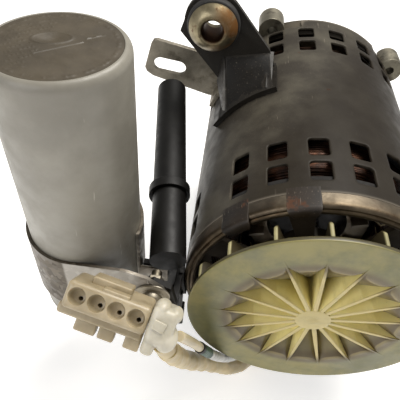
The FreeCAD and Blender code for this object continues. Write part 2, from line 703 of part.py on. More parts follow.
def mounting_bracket():
    """A hanging plate round the isolator, with a sloping skirt and cheeks on a curved foot."""
    plate_front, plate_back = PLATE_Y
    middle = (plate_front + plate_back) / 2
    corner = Vector(-33.0, plate_front, 68.6)
    centre = Vector(ISO_X, plate_front, ISO_Z)
    reach = corner - centre
    tilt = math.atan2(reach.z, reach.x) + math.acos(PLATE_ROUND_R / reach.Length)
    tangent = centre + Vector(math.cos(tilt), 0, math.sin(tilt)) * PLATE_ROUND_R
    crown = centre + Vector(0, 0, PLATE_ROUND_R)
    flank = centre - Vector(PLATE_ROUND_R, 0, 0)
    path = [flank, Vector(-83.0, plate_front, 74.3), Vector(-58.7, plate_front, 46.9)]
    path += [polar(SHELL_R + 1.7, angle, plate_front) for angle in (-52.5, -43.0, -34.0, -25.8)]
    path += [corner, tangent]
    edges = [Part.LineSegment(start, end).toShape() for start, end in zip(path, path[1:])]
    edges.append(Part.Arc(tangent, crown, flank).toShape())
    plate = Part.Face(Part.Wire(edges)).extrude(Vector(0, plate_back - plate_front, 0))
    outer = SHELL_R + SEAT_GAP + FOOT_THICK
    inner = SHELL_R + 2 * SEAT_GAP
    foot = sector(SHELL_R + SEAT_GAP, outer, -63.0, -25.0, FOOT_FRONT, plate_back)
    skirt_top = Part.makePolygon([Vector(x, middle, z) for x, z in (
        (-57.0, 63.6), (-33.0, 68.1), (-33.0, 65.1), (-57.0, 60.6), (-57.0, 63.6))])
    left, centre_angle, right = SKIRT_ANGLES
    skirt_foot = Part.Wire([
        Part.Arc(*[polar(outer, angle, FOOT_FRONT) for angle in (left, centre_angle, right)]).toShape(),
        Part.makeLine(polar(outer, right, FOOT_FRONT), polar(inner, right, FOOT_FRONT)),
        Part.Arc(*[polar(inner, angle, FOOT_FRONT) for angle in (right, centre_angle, left)]).toShape(),
        Part.makeLine(polar(inner, left, FOOT_FRONT), polar(outer, left, FOOT_FRONT)),
    ])
    skirt = Part.makeLoft([skirt_top, skirt_foot], True, True)
    left_cheek = slab([
        (-57.0, middle, 62.5), (-58.5, middle, 45.5), (-53.0, FOOT_FRONT + 0.5, 41.0),
    ], CHEEK_THICK)
    right_cheek = sheet_along([
        (middle, 57.5), (middle, 67.5), (FOOT_FRONT + 1, 58.6), (FOOT_FRONT + 1, 57.5),
    ], -33.5, -30.5)
    bracket = joined(plate, [foot, skirt, left_cheek, right_cheek])
    return bracket.cut(rod(GROMMET_NECK_R, plate_front - 1, plate_back + 1, ISO_X, ISO_Z))


def isolator_grommet():
    front, back = PLATE_Y
    flange_front = rod(GROMMET_R, front - GROMMET_FLANGE, front, ISO_X, ISO_Z)
    flange_back = rod(GROMMET_R, back, back + GROMMET_FLANGE, ISO_X, ISO_Z)
    neck = rod(GROMMET_NECK_R, front - 1, back + 1, ISO_X, ISO_Z)
    rubber = joined(flange_front, [neck, flange_back])
    return rubber.cut(rod(SLEEVE_R, front - 10, back + 10, ISO_X, ISO_Z))


def isolator_sleeve():
    nose = SLEEVE_Y[0]
    flange_back = PLATE_Y[0] - GROMMET_FLANGE
    flange_front = flange_back - SLEEVE_FLANGE_THICK
    barrel = rod(SLEEVE_R, nose, SLEEVE_Y[1], ISO_X, ISO_Z)
    flange = rod(SLEEVE_FLANGE_R, flange_front, flange_back, ISO_X, ISO_Z)
    cone = Part.makeCone(SLEEVE_NOSE_R, SLEEVE_FLANGE_R, flange_front - nose, Vector(ISO_X, nose, ISO_Z),
                         Vector(0, 1, 0))
    sleeve = joined(barrel, [flange, cone])
    return sleeve.cut(rod(SLEEVE_BORE_R, SLEEVE_Y[0] - 1, SLEEVE_Y[1] + 1, ISO_X, ISO_Z))


def tension_tab():
    """A flat tab with an adjusting slot and a curved foot on the shell."""
    root = [polar(SHELL_R + 0.45, angle, 0) for angle in (-52.0, -62.5, -73.0)]
    tab = sheet_across([
        (-100.0, 54.0), (-76.0, 49.5), (-58.0, 46.0), (root[0].x, root[0].z), (root[1].x, root[1].z),
        (root[2].x, root[2].z), (-66.0, 19.0), (-103.0, 28.8), (-107.0, 31.5), (-108.2, 34.5),
        (-104.0, 51.0), (-102.5, 53.4),
    ], TENSION_Y[0], TENSION_Y[1])
    foot_length = 11.0
    foot = sector(SHELL_R + SEAT_GAP, SHELL_R + 2.8, -74.5, -51.5, TENSION_Y[0] - foot_length, TENSION_Y[1])
    half = TENSION_SLOT_LENGTH / 2 - TENSION_SLOT_R
    slot = box(-half, half, TENSION_Y[0] - 1, TENSION_Y[1] + 1, -TENSION_SLOT_R, TENSION_SLOT_R)
    ends = [rod(TENSION_SLOT_R, TENSION_Y[0] - 1, TENSION_Y[1] + 1, end, 0) for end in (-half, half)]
    slot = joined(slot, ends)
    slot.rotate(Vector(0, 0, 0), Vector(0, 1, 0), -SLOT_TILT)
    slot.translate(Vector(SLOT_CENTRE[0], 0, SLOT_CENTRE[1]))
    return joined(tab, [foot]).cut(slot)


# ---- connector and leads ---------------------------------------------------
def on_connector(shape):
    """Moves a piece from the connector's own axes: X along the row, Z out of the mating face."""
    up = CONNECTOR_FACING.cross(CONNECTOR_ROW)
    turn = FreeCAD.Rotation(CONNECTOR_ROW, up, CONNECTOR_FACING, "ZXY")
    moved = shape.copy()
    moved.Placement = FreeCAD.Placement(CONNECTOR_PLACE, turn)
    return moved


def circuit_places():
    first = -(CIRCUITS - 1) * CIRCUIT_PITCH / 2
    return [first + index * CIRCUIT_PITCH for index in range(CIRCUITS)]


def connector_housing():
    half = HOUSING_HALF_HEIGHT
    body = box(-HOUSING_HALF_LENGTH, HOUSING_HALF_LENGTH, -half, half, -HOUSING_DEPTH, 0)
    ledge_bottom = -half - LEDGE_HEIGHT
    feet = [box(*LEDGE_X, ledge_bottom, -half + 0.5, *LEDGE_Z)]
    for left, right in HOUSING_FEET:
        feet.append(box(left, right, ledge_bottom - FOOT_HEIGHT, ledge_bottom + 0.5, -10, -4))
    latch = box(-9.5, 7.0, half - 0.5, half + 3.0, -16, -6)
    housing = joined(body, feet + [latch])
    cutters = []
    for place in circuit_places():
        cutters.append(Part.makeCylinder(SOCKET_R, SOCKET_DEPTH + 1, Vector(place, 0, -SOCKET_DEPTH)))
        cutters.append(Part.makeCylinder(CONTACT_R + 0.1, HOUSING_DEPTH - SOCKET_DEPTH + 2,
                                         Vector(place, 0, -HOUSING_DEPTH - 1)))
    return on_connector(housing.cut(cutters))


def connector_contacts():
    pins = []
    for place in circuit_places():
        pins.append(Part.makeCylinder(CONTACT_R, CONTACT_LENGTH, Vector(place, 0, -HOUSING_DEPTH + 0.5)))
    return on_connector(Part.makeCompound(pins))


def connector_lock():
    """The end block where the leads come in."""
    block = box(HOUSING_HALF_LENGTH + TOUCH_GAP, LOCK_END, LOCK_Y[0], LOCK_Y[1],
                LOCK_Z[0], LOCK_Z[1])
    block = block.makeFillet(LOCK_ROUND, block.Edges)
    return on_connector(block)


def harness_boot():
    """A right-angle rubber boot: a flanged stem in the shell and a mouth along the leads."""
    seat = -SHELL_R - 0.1
    stem_length = 8.0
    flange = Part.makeCylinder(BOOT_R + 2.5, BOOT_FLANGE_THICK, Vector(0, BOOT_Y, seat - BOOT_FLANGE_THICK))
    stem = Part.makeCylinder(BOOT_STEM_R, stem_length, Vector(0, BOOT_Y, -SHELL_R - 2))
    knuckle = Part.makeCylinder(BOOT_R, seat - 0.9 - BOOT_TURN_Z, Vector(0, BOOT_Y, BOOT_TURN_Z))
    mouth = Part.makeCylinder(BOOT_R - 0.5, BOOT_MOUTH_LENGTH, Vector(0, BOOT_Y, BOOT_TURN_Z),
                              Vector(-0.05, -0.99, 0.0))
    ball = Part.makeSphere(BOOT_R, Vector(0, BOOT_Y, BOOT_TURN_Z))
    return joined(flange, [stem, knuckle, mouth, ball])


NODES = {
    "motor_shell": motor_shell,
    "front_end_frame": front_end_frame,
    "rear_end_frame": rear_end_frame,
    "rear_lugs": rear_lugs,
    "front_bearing": lambda: tube(BEARING_R, BEARING_BORE_R, *FRONT_BEARING_Y),
    "rear_bearing": lambda: tube(BEARING_R, BEARING_BORE_R, *REAR_BEARING_Y),
    "front_oil_felt": lambda: tube(FELT_R, FELT_BORE_R, *FRONT_FELT_Y),
    "rear_oil_felt": lambda: tube(FELT_R, FELT_BORE_R, *REAR_FELT_Y),
    "front_bearing_cap": lambda: tube(FELT_R, FELT_BORE_R, *FRONT_CAP_Y),
    "rear_bearing_cap": lambda: tube(FELT_R, FELT_BORE_R, *REAR_CAP_Y),
    "stator_core": stator_core,
    "front_winding": lambda: winding(*FRONT_WINDING_Y),
    "rear_winding": lambda: winding(*REAR_WINDING_Y),
    "thermal_protector": thermal_protector,
    "shaft": shaft,
    "rotor_core": lambda: tube(ROTOR_R, CORE_SHAFT_R, *STACK_Y),
    "rotor_front_ring": lambda: end_ring(STACK_Y[0], -1),
    "rotor_rear_ring": lambda: end_ring(STACK_Y[1], 1),
    "front_thrust_washer": lambda: tube(WASHER_R, CORE_SHAFT_R, *FRONT_WASHER_Y),
    "rear_thrust_washer": lambda: tube(WASHER_R, CORE_SHAFT_R, *REAR_WASHER_Y),
    "fan_wheel": fan_wheel,
    "fan_ribs": fan_ribs,
    "fan_blades": fan_blades,
    "fan_clip": lambda: tube(FAN_HUB_R + CLIP_THICK, FAN_HUB_R, *CLIP_Y),
    "capacitor_can": capacitor_can,
    "capacitor_end_disc": capacitor_end_disc,
    "capacitor_element": lambda: upright(CAP_R - CAP_WALL - 1.5, *CAP_ELEMENT_Z),
    "capacitor_base": lambda: upright(CAP_R, CAP_BOTTOM - CAP_BASE_THICK, CAP_BOTTOM),
    "capacitor_terminals": capacitor_terminals,
    "capacitor_strap": capacitor_strap,
    "strap_washer": strap_washer,
    "strap_screw": strap_screw,
    "strap_nut": strap_nut,
    "capacitor_bracket": capacitor_bracket,
    "bracket_bumper": bracket_bumper,
    "support_strut": support_strut,
    "strut_collar": strut_collar,
    "mounting_bracket": mounting_bracket,
    "isolator_grommet": isolator_grommet,
    "isolator_sleeve": isolator_sleeve,
    "tension_tab": tension_tab,
    "connector_housing": connector_housing,
    "connector_contacts": connector_contacts,
    "connector_lock": connector_lock,
    "harness_boot": harness_boot,
    "harness_sleeving": lambda: cord_tube(SLEEVING_ROUTE, "harness_sleeving", SLEEVING_D),
    "second_lead": lambda: cord_tube(LEAD_ROUTE, "second_lead", LEAD_D),
}

for name, make in NODES.items():
    piece = make()
    piece.translate(ISO_CENTRE * -1)
    print(name, "solids", len(piece.Solids), "valid", piece.isValid(), "cm3", round(piece.Volume / 1000, 2))
    piece.exportStep(os.path.join("parts", name + ".step"))
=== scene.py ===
import math
import random

import bmesh
import bpy
from mathutils import Matrix, Vector


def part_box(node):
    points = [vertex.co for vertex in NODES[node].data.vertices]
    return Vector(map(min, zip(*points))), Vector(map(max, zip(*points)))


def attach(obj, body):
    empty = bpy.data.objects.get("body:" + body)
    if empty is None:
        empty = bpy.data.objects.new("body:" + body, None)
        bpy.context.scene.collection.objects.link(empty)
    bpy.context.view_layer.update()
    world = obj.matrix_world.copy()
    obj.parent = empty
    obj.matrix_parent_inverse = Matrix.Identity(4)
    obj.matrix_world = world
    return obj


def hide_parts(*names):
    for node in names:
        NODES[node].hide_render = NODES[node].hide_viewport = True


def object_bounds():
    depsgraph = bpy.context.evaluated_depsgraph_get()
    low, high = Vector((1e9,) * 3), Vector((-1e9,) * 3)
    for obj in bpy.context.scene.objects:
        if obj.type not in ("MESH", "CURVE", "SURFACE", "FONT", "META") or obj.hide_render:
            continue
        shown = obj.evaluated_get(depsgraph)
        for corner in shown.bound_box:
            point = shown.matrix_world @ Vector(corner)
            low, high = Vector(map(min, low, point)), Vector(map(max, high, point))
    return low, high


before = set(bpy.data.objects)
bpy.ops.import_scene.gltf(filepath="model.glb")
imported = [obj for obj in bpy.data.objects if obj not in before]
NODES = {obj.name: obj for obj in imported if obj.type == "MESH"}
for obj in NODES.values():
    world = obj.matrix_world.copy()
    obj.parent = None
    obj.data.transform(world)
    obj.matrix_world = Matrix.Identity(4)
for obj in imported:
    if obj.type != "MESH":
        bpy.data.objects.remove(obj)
CAD_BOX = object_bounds()

MM = 0.001

# ---- places taken from the frame ----
DOME_HEIGHT = 1.0
SHELL_LOW, SHELL_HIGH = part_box("motor_shell")
FAN_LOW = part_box("fan_wheel")[0]
SHELL_MIDDLE = (SHELL_LOW + SHELL_HIGH) / 2
HUB = Vector((SHELL_MIDDLE.x, FAN_LOW.y + DOME_HEIGHT * MM, SHELL_MIDDLE.z))


def box_in_mm(node):
    """A node's box in millimetres from the centre of the fan wheel's front face."""
    low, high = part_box(node)
    return (low - HUB) / MM, (high - HUB) / MM


SHELL_R = (SHELL_HIGH.x - SHELL_LOW.x) / 2 / MM
CAN_LOW, CAN_HIGH = box_in_mm("capacitor_can")
CAN_R = (CAN_HIGH.x - CAN_LOW.x) / 2
CAN_CENTRE = ((CAN_LOW.x + CAN_HIGH.x) / 2, (CAN_LOW.y + CAN_HIGH.y) / 2)
CAN_TOP = CAN_HIGH.z
SLEEVE_LOW, SLEEVE_HIGH = box_in_mm("isolator_sleeve")
ISOLATOR = ((SLEEVE_LOW.x + SLEEVE_HIGH.x) / 2, (SLEEVE_LOW.z + SLEEVE_HIGH.z) / 2)


def at(x, y, z):
    """A place given in millimetres from the centre of the fan wheel's front face."""
    return HUB + Vector((x, y, z)) * MM


def polar(radius, angle, y):
    """A place at a radius and an angle (radians, from +Z towards +X) about the motor axis."""
    return (radius * math.sin(angle), y, radius * math.cos(angle))


def show(name, data):
    """Puts data in the scene as an object."""
    piece = bpy.data.objects.new(name, data)
    bpy.context.scene.collection.objects.link(piece)
    return piece


# ---- camera and light ----
CAMERA_PLACE = (-54.4, -113.5, 191.9)
CAMERA_RIGHT = (0.99196, 0.10770, 0.0667)
CAMERA_UP = (-0.1240, 0.71657, 0.6864)
LENS = 41.12
FLOOR_SIZE = 3.0
FLOOR_DROP = 2.0


def add_camera():
    data = bpy.data.cameras.new("camera")
    data.lens = LENS
    data.sensor_width = 36.0
    data.clip_start = 0.01
    data.clip_end = 20.0
    camera = show("camera", data)
    right = Vector(CAMERA_RIGHT).normalized()
    back = right.cross(Vector(CAMERA_UP)).normalized()
    turn = Matrix((right, back.cross(right), back)).transposed().to_4x4()
    camera.matrix_world = Matrix.Translation(at(*CAMERA_PLACE)) @ turn
    bpy.context.scene.camera = camera


def add_area_light(name, place, size, power, colour):
    data = bpy.data.lights.new(name, "AREA")
    data.shape = "RECTANGLE"
    data.size = size
    data.size_y = size
    data.energy = power
    data.color = colour
    light = show(name, data)
    light.location = place
    light.rotation_euler = (at(-20, 80, 0) - place).to_track_quat("-Z", "Y").to_euler()


def add_lights():
    world = bpy.data.worlds.new("studio")
    world.use_nodes = True
    background = world.node_tree.nodes["Background"]
    background.inputs["Color"].default_value = (1.0, 0.98, 0.95, 1.0)
    background.inputs["Strength"].default_value = 0.34
    bpy.context.scene.world = world
    add_area_light("key", at(150, 250, 700), 0.45, 7.5, (1.0, 0.97, 0.92))
    add_area_light("fill", at(-500, -500, 400), 0.5, 2.6, (0.98, 0.98, 1.0))
    bpy.context.scene.view_settings.view_transform = "Standard"


# ---- material tools ----
def srgb(red, green, blue):
    """A linear colour from 0-255 display values."""
    linear = []
    for value in (red, green, blue):
        share = value / 255
        linear.append(share / 12.92 if share <= 0.04045 else ((share + 0.055) / 1.055) ** 2.4)
    return (*linear, 1.0)


class Finish:
    """A material's node tree. Colours are given as 0-255 display values."""

    def __init__(self, name, **constants):
        self.material = bpy.data.materials.new(name)
        self.material.use_nodes = True
        self.tree = self.material.node_tree
        self.surface = self.tree.nodes["Principled BSDF"]
        for socket, value in constants.items():
            self.surface.inputs[socket.replace("_", " ")].default_value = value
        places = self.node("TexCoord")
        self.place = places.outputs["Object"]
        self.normal = places.outputs["Normal"]
        self.base = None

    def node(self, kind, **inputs):
        node = self.tree.nodes.new("ShaderNode" + kind)
        for socket, value in inputs.items():
            self.fill(node.inputs[socket.replace("_", " ")], value)
        return node

    def fill(self, socket, value):
        if isinstance(value, bpy.types.NodeSocket):
            self.tree.links.new(value, socket)
        else:
            socket.default_value = value

    def noise(self, scale, detail, roughness=0.55, stretch=None):
        place = self.place
        if stretch:
            place = self.node("Mapping", Vector=place, Scale=stretch).outputs["Vector"]
        texture = self.node("TexNoise", Vector=place, Scale=scale, Detail=detail, Roughness=roughness)
        return texture.outputs["Fac"]

    def maths(self, operation, *values):
        node = self.node("Math")
        node.operation = operation
        for socket, value in zip(node.inputs, values):
            self.fill(socket, value)
        return node.outputs["Value"]

    def times(self, first, second):
        return self.maths("MULTIPLY", first, second)

    def grade(self, value, low, high, to_low=0.0, to_high=1.0):
        """Turns smoothly from one value to another between two bounds."""
        node = self.node("MapRange", Value=value, From_Min=low, From_Max=high, To_Min=to_low, To_Max=to_high)
        node.interpolation_type = "SMOOTHSTEP"
        return node.outputs["Result"]

    def blend(self, share, first, second):
        node = self.node("Mix")
        node.data_type = "RGBA"
        for index, value in ((0, share), (6, first), (7, second)):
            self.fill(node.inputs[index], srgb(*value) if isinstance(value, tuple) else value)
        return node.outputs[2]

    def patches(self, scale, detail, low, high, roughness=0.55, stretch=None):
        """A mask of irregular patches."""
        return self.grade(self.noise(scale, detail, roughness, stretch), low, high)

    def along(self, axis, source=None):
        return self.node("SeparateXYZ", Vector=source or self.place).outputs["XYZ".index(axis)]

    def reach(self, x, z):
        """Distance from the line along Y at a given x and z, in metres."""
        across = self.maths("SUBTRACT", self.along("X"), x)
        upward = self.maths("SUBTRACT", self.along("Z"), z)
        return self.maths("SQRT", self.maths("ADD", self.times(across, across), self.times(upward, upward)))

    def edges(self, low, high):
        """A mask that is high on outer edges."""
        return self.grade(self.node("NewGeometry").outputs["Pointiness"], low, high)

    def paint(self, colour):
        self.base = colour
        self.tree.links.new(colour, self.surface.inputs["Base Color"])

    def cover(self, mask, strength, colour):
        """Lays a colour over the finish where a mask is high."""
        self.paint(self.blend(self.times(mask, strength), self.base, colour))

    def roughen(self, value):
        self.tree.links.new(value, self.surface.inputs["Roughness"])

    def gloss(self, scale, detail, low, high, smooth, rough):
        uneven = self.grade(self.noise(scale, detail), low, high, smooth, rough)
        self.roughen(uneven)
        return uneven

    def relief(self, height, distance, strength):
        bump = self.node("Bump", Height=height, Distance=distance, Strength=strength)
        self.tree.links.new(bump.outputs["Normal"], self.surface.inputs["Normal"])


def layered(name, tones, dark, light, layers, grain, gloss=None, **constants):
    """Mottled tones under layers of (strength, colour, patches), with a fine grain and an uneven gloss."""
    finish = Finish(name, **constants)
    finish.paint(finish.blend(finish.patches(*tones), dark, light))
    for strength, colour, *patch in layers:
        finish.cover(finish.patches(*patch), strength, colour)
    scale, detail, distance, strength = grain
    finish.relief(finish.noise(scale, detail), distance, strength)
    if gloss:
        finish.gloss(*gloss)
    return finish


# ---- materials ----
NYLON_BODY = {"IOR": 1.53, "Subsurface_Scale": 0.003}
PAINTED_SHADE_LINE = 0.0445


def painted_steel(name, dark, light, rust_amount, low, high, worn, ior, shade_colour=None):
    """Old stoved black enamel: mottled, scratched, worn bare at its edges and a little rusty; a shade colour,
    if given, is painted shade laid over one side.
    """
    scratches = (0.55, (128, 120, 108), 900, 2, 0.70, 0.76, 0.6, (1.0, 0.06, 1.0))
    dust = (0.35, (110, 98, 84), 1400, 3, 0.62, 0.72)
    finish = layered(name, (55, 6, 0.35, 0.7), dark, light, (scratches, dust),
                     (700, 4, 0.00012, 0.35), IOR=ior)
    rust = finish.patches(38, 7, 0.68 - rust_amount, 0.74 - rust_amount, 0.7)
    finish.cover(rust, 0.75, (78, 48, 30))
    if shade_colour:
        # Painted shade: the given shade colour darkens the side towards +X, with a ragged edge.
        slope = finish.maths("SUBTRACT", finish.along("X"), finish.times(finish.along("Y"), 0.5))
        ragged = finish.maths("ADD", slope, finish.times(finish.noise(30, 4), 0.014))
        finish.cover(finish.grade(ragged, 0.064, 0.092), 0.8, shade_colour)
    finish.cover(finish.edges(0.53, 0.60), worn, (120, 112, 100))
    gloss = finish.gloss(130, 5, 0.3, 0.75, low, high)
    finish.roughen(finish.maths("ADD", gloss, finish.times(rust, 0.35)))
    return finish.material


def bare_metal(name, dark, light, low, high, grain, stain=None, shade_below=None, metallic=1.0):
    """Metal with a cast or rolled grain and tonal patches, perhaps stained, and perhaps painted near black as
    shade inside the motor.
    """
    stains = ((0.8, stain, 70, 7, 0.5, 0.66, 0.7),) if stain else ()
    finish = layered(name, (45, 6, 0.3, 0.72, 0.65), dark, light, stains, (grain, 5, 0.00015, 0.5),
                     Metallic=metallic)
    finish.cover(finish.edges(0.52, 0.6), 0.4, (205, 198, 184))
    if shade_below:
        # Painted shade: near black on the side of a given Y line that lies inside the shell.
        inside = finish.grade(finish.along("Y"), shade_below, shade_below + 0.002, 1.0, 0.0)
        finish.cover(inside, 0.96, (10, 8, 6))
    finish.gloss(160, 5, 0.3, 0.75, low, high)
    return finish.material


def moulded(name, dark, light, low, high, grain=600, relief=0.35, ior=1.5):
    """Moulded plastic or rubber with a faint texture and uneven sheen."""
    grime = (0.25, dark, 420, 5, 0.6, 0.74, 0.7)
    return layered(name, (90, 5, 0.35, 0.68), dark, light, (grime,), (grain, 4, 0.0001, relief),
                   (200, 4, 0.3, 0.7, low, high), IOR=ior).material


def natural_nylon(name, dark, light):
    """Ivory nylon, slightly translucent."""
    grime = (0.3, (160, 140, 105), 300, 6, 0.58, 0.74, 0.7)
    return layered(name, (120, 5, 0.35, 0.7), dark, light, (grime,), (700, 3, 0.00008, 0.3),
                   (240, 4, 0.3, 0.7, 0.3, 0.46), Subsurface_Weight=0.3, Subsurface_Radius=(1.0, 0.85, 0.6),
                   **NYLON_BODY).material


def galvanised():
    """Zinc-dipped sheet: spangle in patches of slightly different brightness, dulled by grime."""
    finish = Finish("galvanised_sheet", Metallic=0.85)
    spangle = finish.node("TexVoronoi", Vector=finish.place, Scale=420).outputs["Color"]
    tone = finish.node("SeparateColor", Color=spangle)
    finish.paint(finish.blend(tone.outputs[0], (78, 71, 61), (110, 102, 90)))
    finish.cover(finish.patches(60, 7, 0.42, 0.7, 0.7), 0.6, (66, 57, 46))
    finish.cover(finish.edges(0.53, 0.62), 0.5, (200, 196, 188))
    finish.roughen(finish.grade(tone.outputs[1], 0.0, 1.0, 0.36, 0.58))
    finish.relief(finish.noise(900, 3), 0.0001, 0.4)
    return finish.material


def yellow_zinc():
    """Passivated steel gone brown and rusty towards one side, and darker brown in and round the bore."""
    finish = layered("yellow_passivate", (180, 5, 0.3, 0.7), (116, 107, 84), (152, 142, 116), (),
                     (800, 4, 0.00015, 0.5), Metallic=0.9)
    side = finish.grade(finish.along("X"), -0.006, 0.012)
    rust = finish.times(side, finish.patches(110, 6, 0.36, 0.6, 0.7))
    finish.cover(rust, 0.9, (128, 84, 40))
    finish.cover(finish.grade(finish.reach(0.0, 0.0), 0.0056, 0.0068, 1.0, 0.0), 0.9, (66, 38, 24))
    finish.cover(finish.patches(260, 6, 0.58, 0.66, 0.7), 0.7, (74, 40, 26))
    finish.roughen(finish.maths("ADD", finish.times(rust, 0.3), 0.34))
    return finish.material


def fan_nylon():
    """Natural nylon: grey-olive and mottled in the disc, with painted light and shade: a yellow glow on the
    rib walls, lighter rib crests, and darker pocket edges and disc rim.
    """
    finish = Finish("fan_nylon", Subsurface_Weight=0.2, Subsurface_Radius=(1.0, 0.8, 0.42), **NYLON_BODY)
    distance = finish.times(finish.reach(HUB.x, HUB.z), 1 / MM)
    depth = finish.times(finish.maths("SUBTRACT", finish.along("Y"), HUB.y), 1 / MM)
    inside = finish.grade(distance, 40.0, 47.0, 1.0, 0.0)
    disc = finish.blend(finish.patches(22, 6, 0.38, 0.62, 0.65), (98, 97, 62), (134, 126, 74))
    floor = finish.blend(finish.patches(60, 4, 0.35, 0.7), (98, 90, 62), (122, 110, 74))
    finish.paint(finish.blend(inside, disc, floor))
    # Painted shadow: a dark brown band under the pockets' outer edges.
    outline = finish.times(finish.grade(distance, 33.0, 38.0), finish.grade(distance, 40.5, 46.0, 1.0, 0.0))
    finish.cover(outline, 0.85, (70, 54, 20))
    # Painted light: surfaces facing sideways in the pockets, the rib walls, get a bright yellow glow.
    facing = finish.maths("ABSOLUTE", finish.along("Y", finish.normal))
    walls = finish.times(finish.grade(facing, 0.25, 0.6, 1.0, 0.0), finish.grade(depth, 0.05, 0.3))
    painted_glow = finish.blend(finish.patches(45, 4, 0.35, 0.7), (206, 192, 122), (226, 214, 150))
    finish.paint(finish.blend(finish.times(walls, inside), finish.base, painted_glow))
    # Painted highlight: rib crests and the hub inside 43 mm are made lighter.
    crest_light_mask = finish.grade(depth, 0.25, 0.6, 1.0, 0.0)
    finish.cover(finish.times(crest_light_mask, finish.grade(distance, 33.0, 43.0, 1.0, 0.0)), 0.8, (196, 180, 122))
    finish.cover(finish.patches(26, 7, 0.52, 0.72, 0.75, (1.0, 1.0, 2.4)), 0.3, (104, 98, 68))
    # Painted shade: the disc's outer edge behind its front face is darkened.
    rim = finish.times(finish.grade(depth, 0.2, 0.7), finish.grade(distance, 59.0, 59.8))
    finish.cover(rim, 0.95, (60, 54, 32))
    finish.cover(finish.patches(520, 3, 0.74, 0.77, 0.6), 0.6, (70, 64, 44))
    finish.gloss(85, 5, 0.3, 0.7, 0.34, 0.52)
    finish.relief(finish.noise(260, 4), 0.0002, 0.25)
    return finish.material


def fan_blade():
    """The same nylon behind the disc: pale on the blades' outer edges, with painted shade darkening them
    further in.
    """
    finish = Finish("fan_blade", IOR=1.53)
    pale = finish.blend(finish.patches(90, 4, 0.35, 0.7), (128, 122, 86), (156, 148, 106))
    outer = finish.grade(finish.times(finish.reach(HUB.x, HUB.z), 1 / MM), 58.6, 59.5)
    # Painted shade: the blades darken inside 58.6 mm, where no light reaches.
    finish.paint(finish.blend(outer, (58, 50, 30), pale))
    finish.gloss(85, 5, 0.3, 0.7, 0.4, 0.58)
    finish.relief(finish.noise(260, 4), 0.0002, 0.25)
    return finish.material


def capacitor_case():
    """Warm grey moulded case, finely textured, with grime and faint scuffs."""
    specks = (0.3, (110, 104, 92), 1100, 3, 0.66, 0.74, 0.7)
    scuffs = (0.4, (205, 200, 188), 500, 2, 0.7, 0.76, 0.6, (1.0, 1.0, 0.12))
    return layered("capacitor_case", (28, 6, 0.35, 0.7, 0.6), (122, 118, 108), (142, 138, 127),
                   (specks, scuffs), (1500, 3, 0.00008, 0.4),
                   (150, 5, 0.3, 0.7, 0.38, 0.55), IOR=1.5).material


def capacitor_lid():
    """The browned, dusty end disc."""
    dust = (0.2, (100, 91, 74), 900, 4, 0.55, 0.72, 0.7)
    return layered("capacitor_lid", (60, 6, 0.35, 0.7, 0.65), (60, 53, 41), (73, 65, 51), (dust,),
                   (900, 4, 0.00012, 0.4), (150, 5, 0.3, 0.7, 0.42, 0.62), IOR=1.5).material


def copper():
    """Enamelled winding wire, painted dark as shade inside the shell."""
    return layered("shaded_winding_copper", (240, 5, 0.35, 0.7), (38, 24, 17), (72, 44, 28), (),
                   (600, 3, 0.0001, 0.4), (300, 4, 0.3, 0.7, 0.28, 0.5), Metallic=0.75).material


def laminations():
    """Stacked steel sheets seen edge on."""
    finish = Finish("laminations", Metallic=0.9)
    waves = finish.node("TexWave", Vector=finish.place, Scale=320, Distortion=0.3)
    waves.bands_direction = "Y"
    finish.paint(finish.blend(waves.outputs["Fac"], (50, 50, 52), (100, 100, 102)))
    finish.gloss(200, 4, 0.3, 0.7, 0.4, 0.6)
    finish.relief(waves.outputs["Fac"], 0.00015, 0.6)
    return finish.material


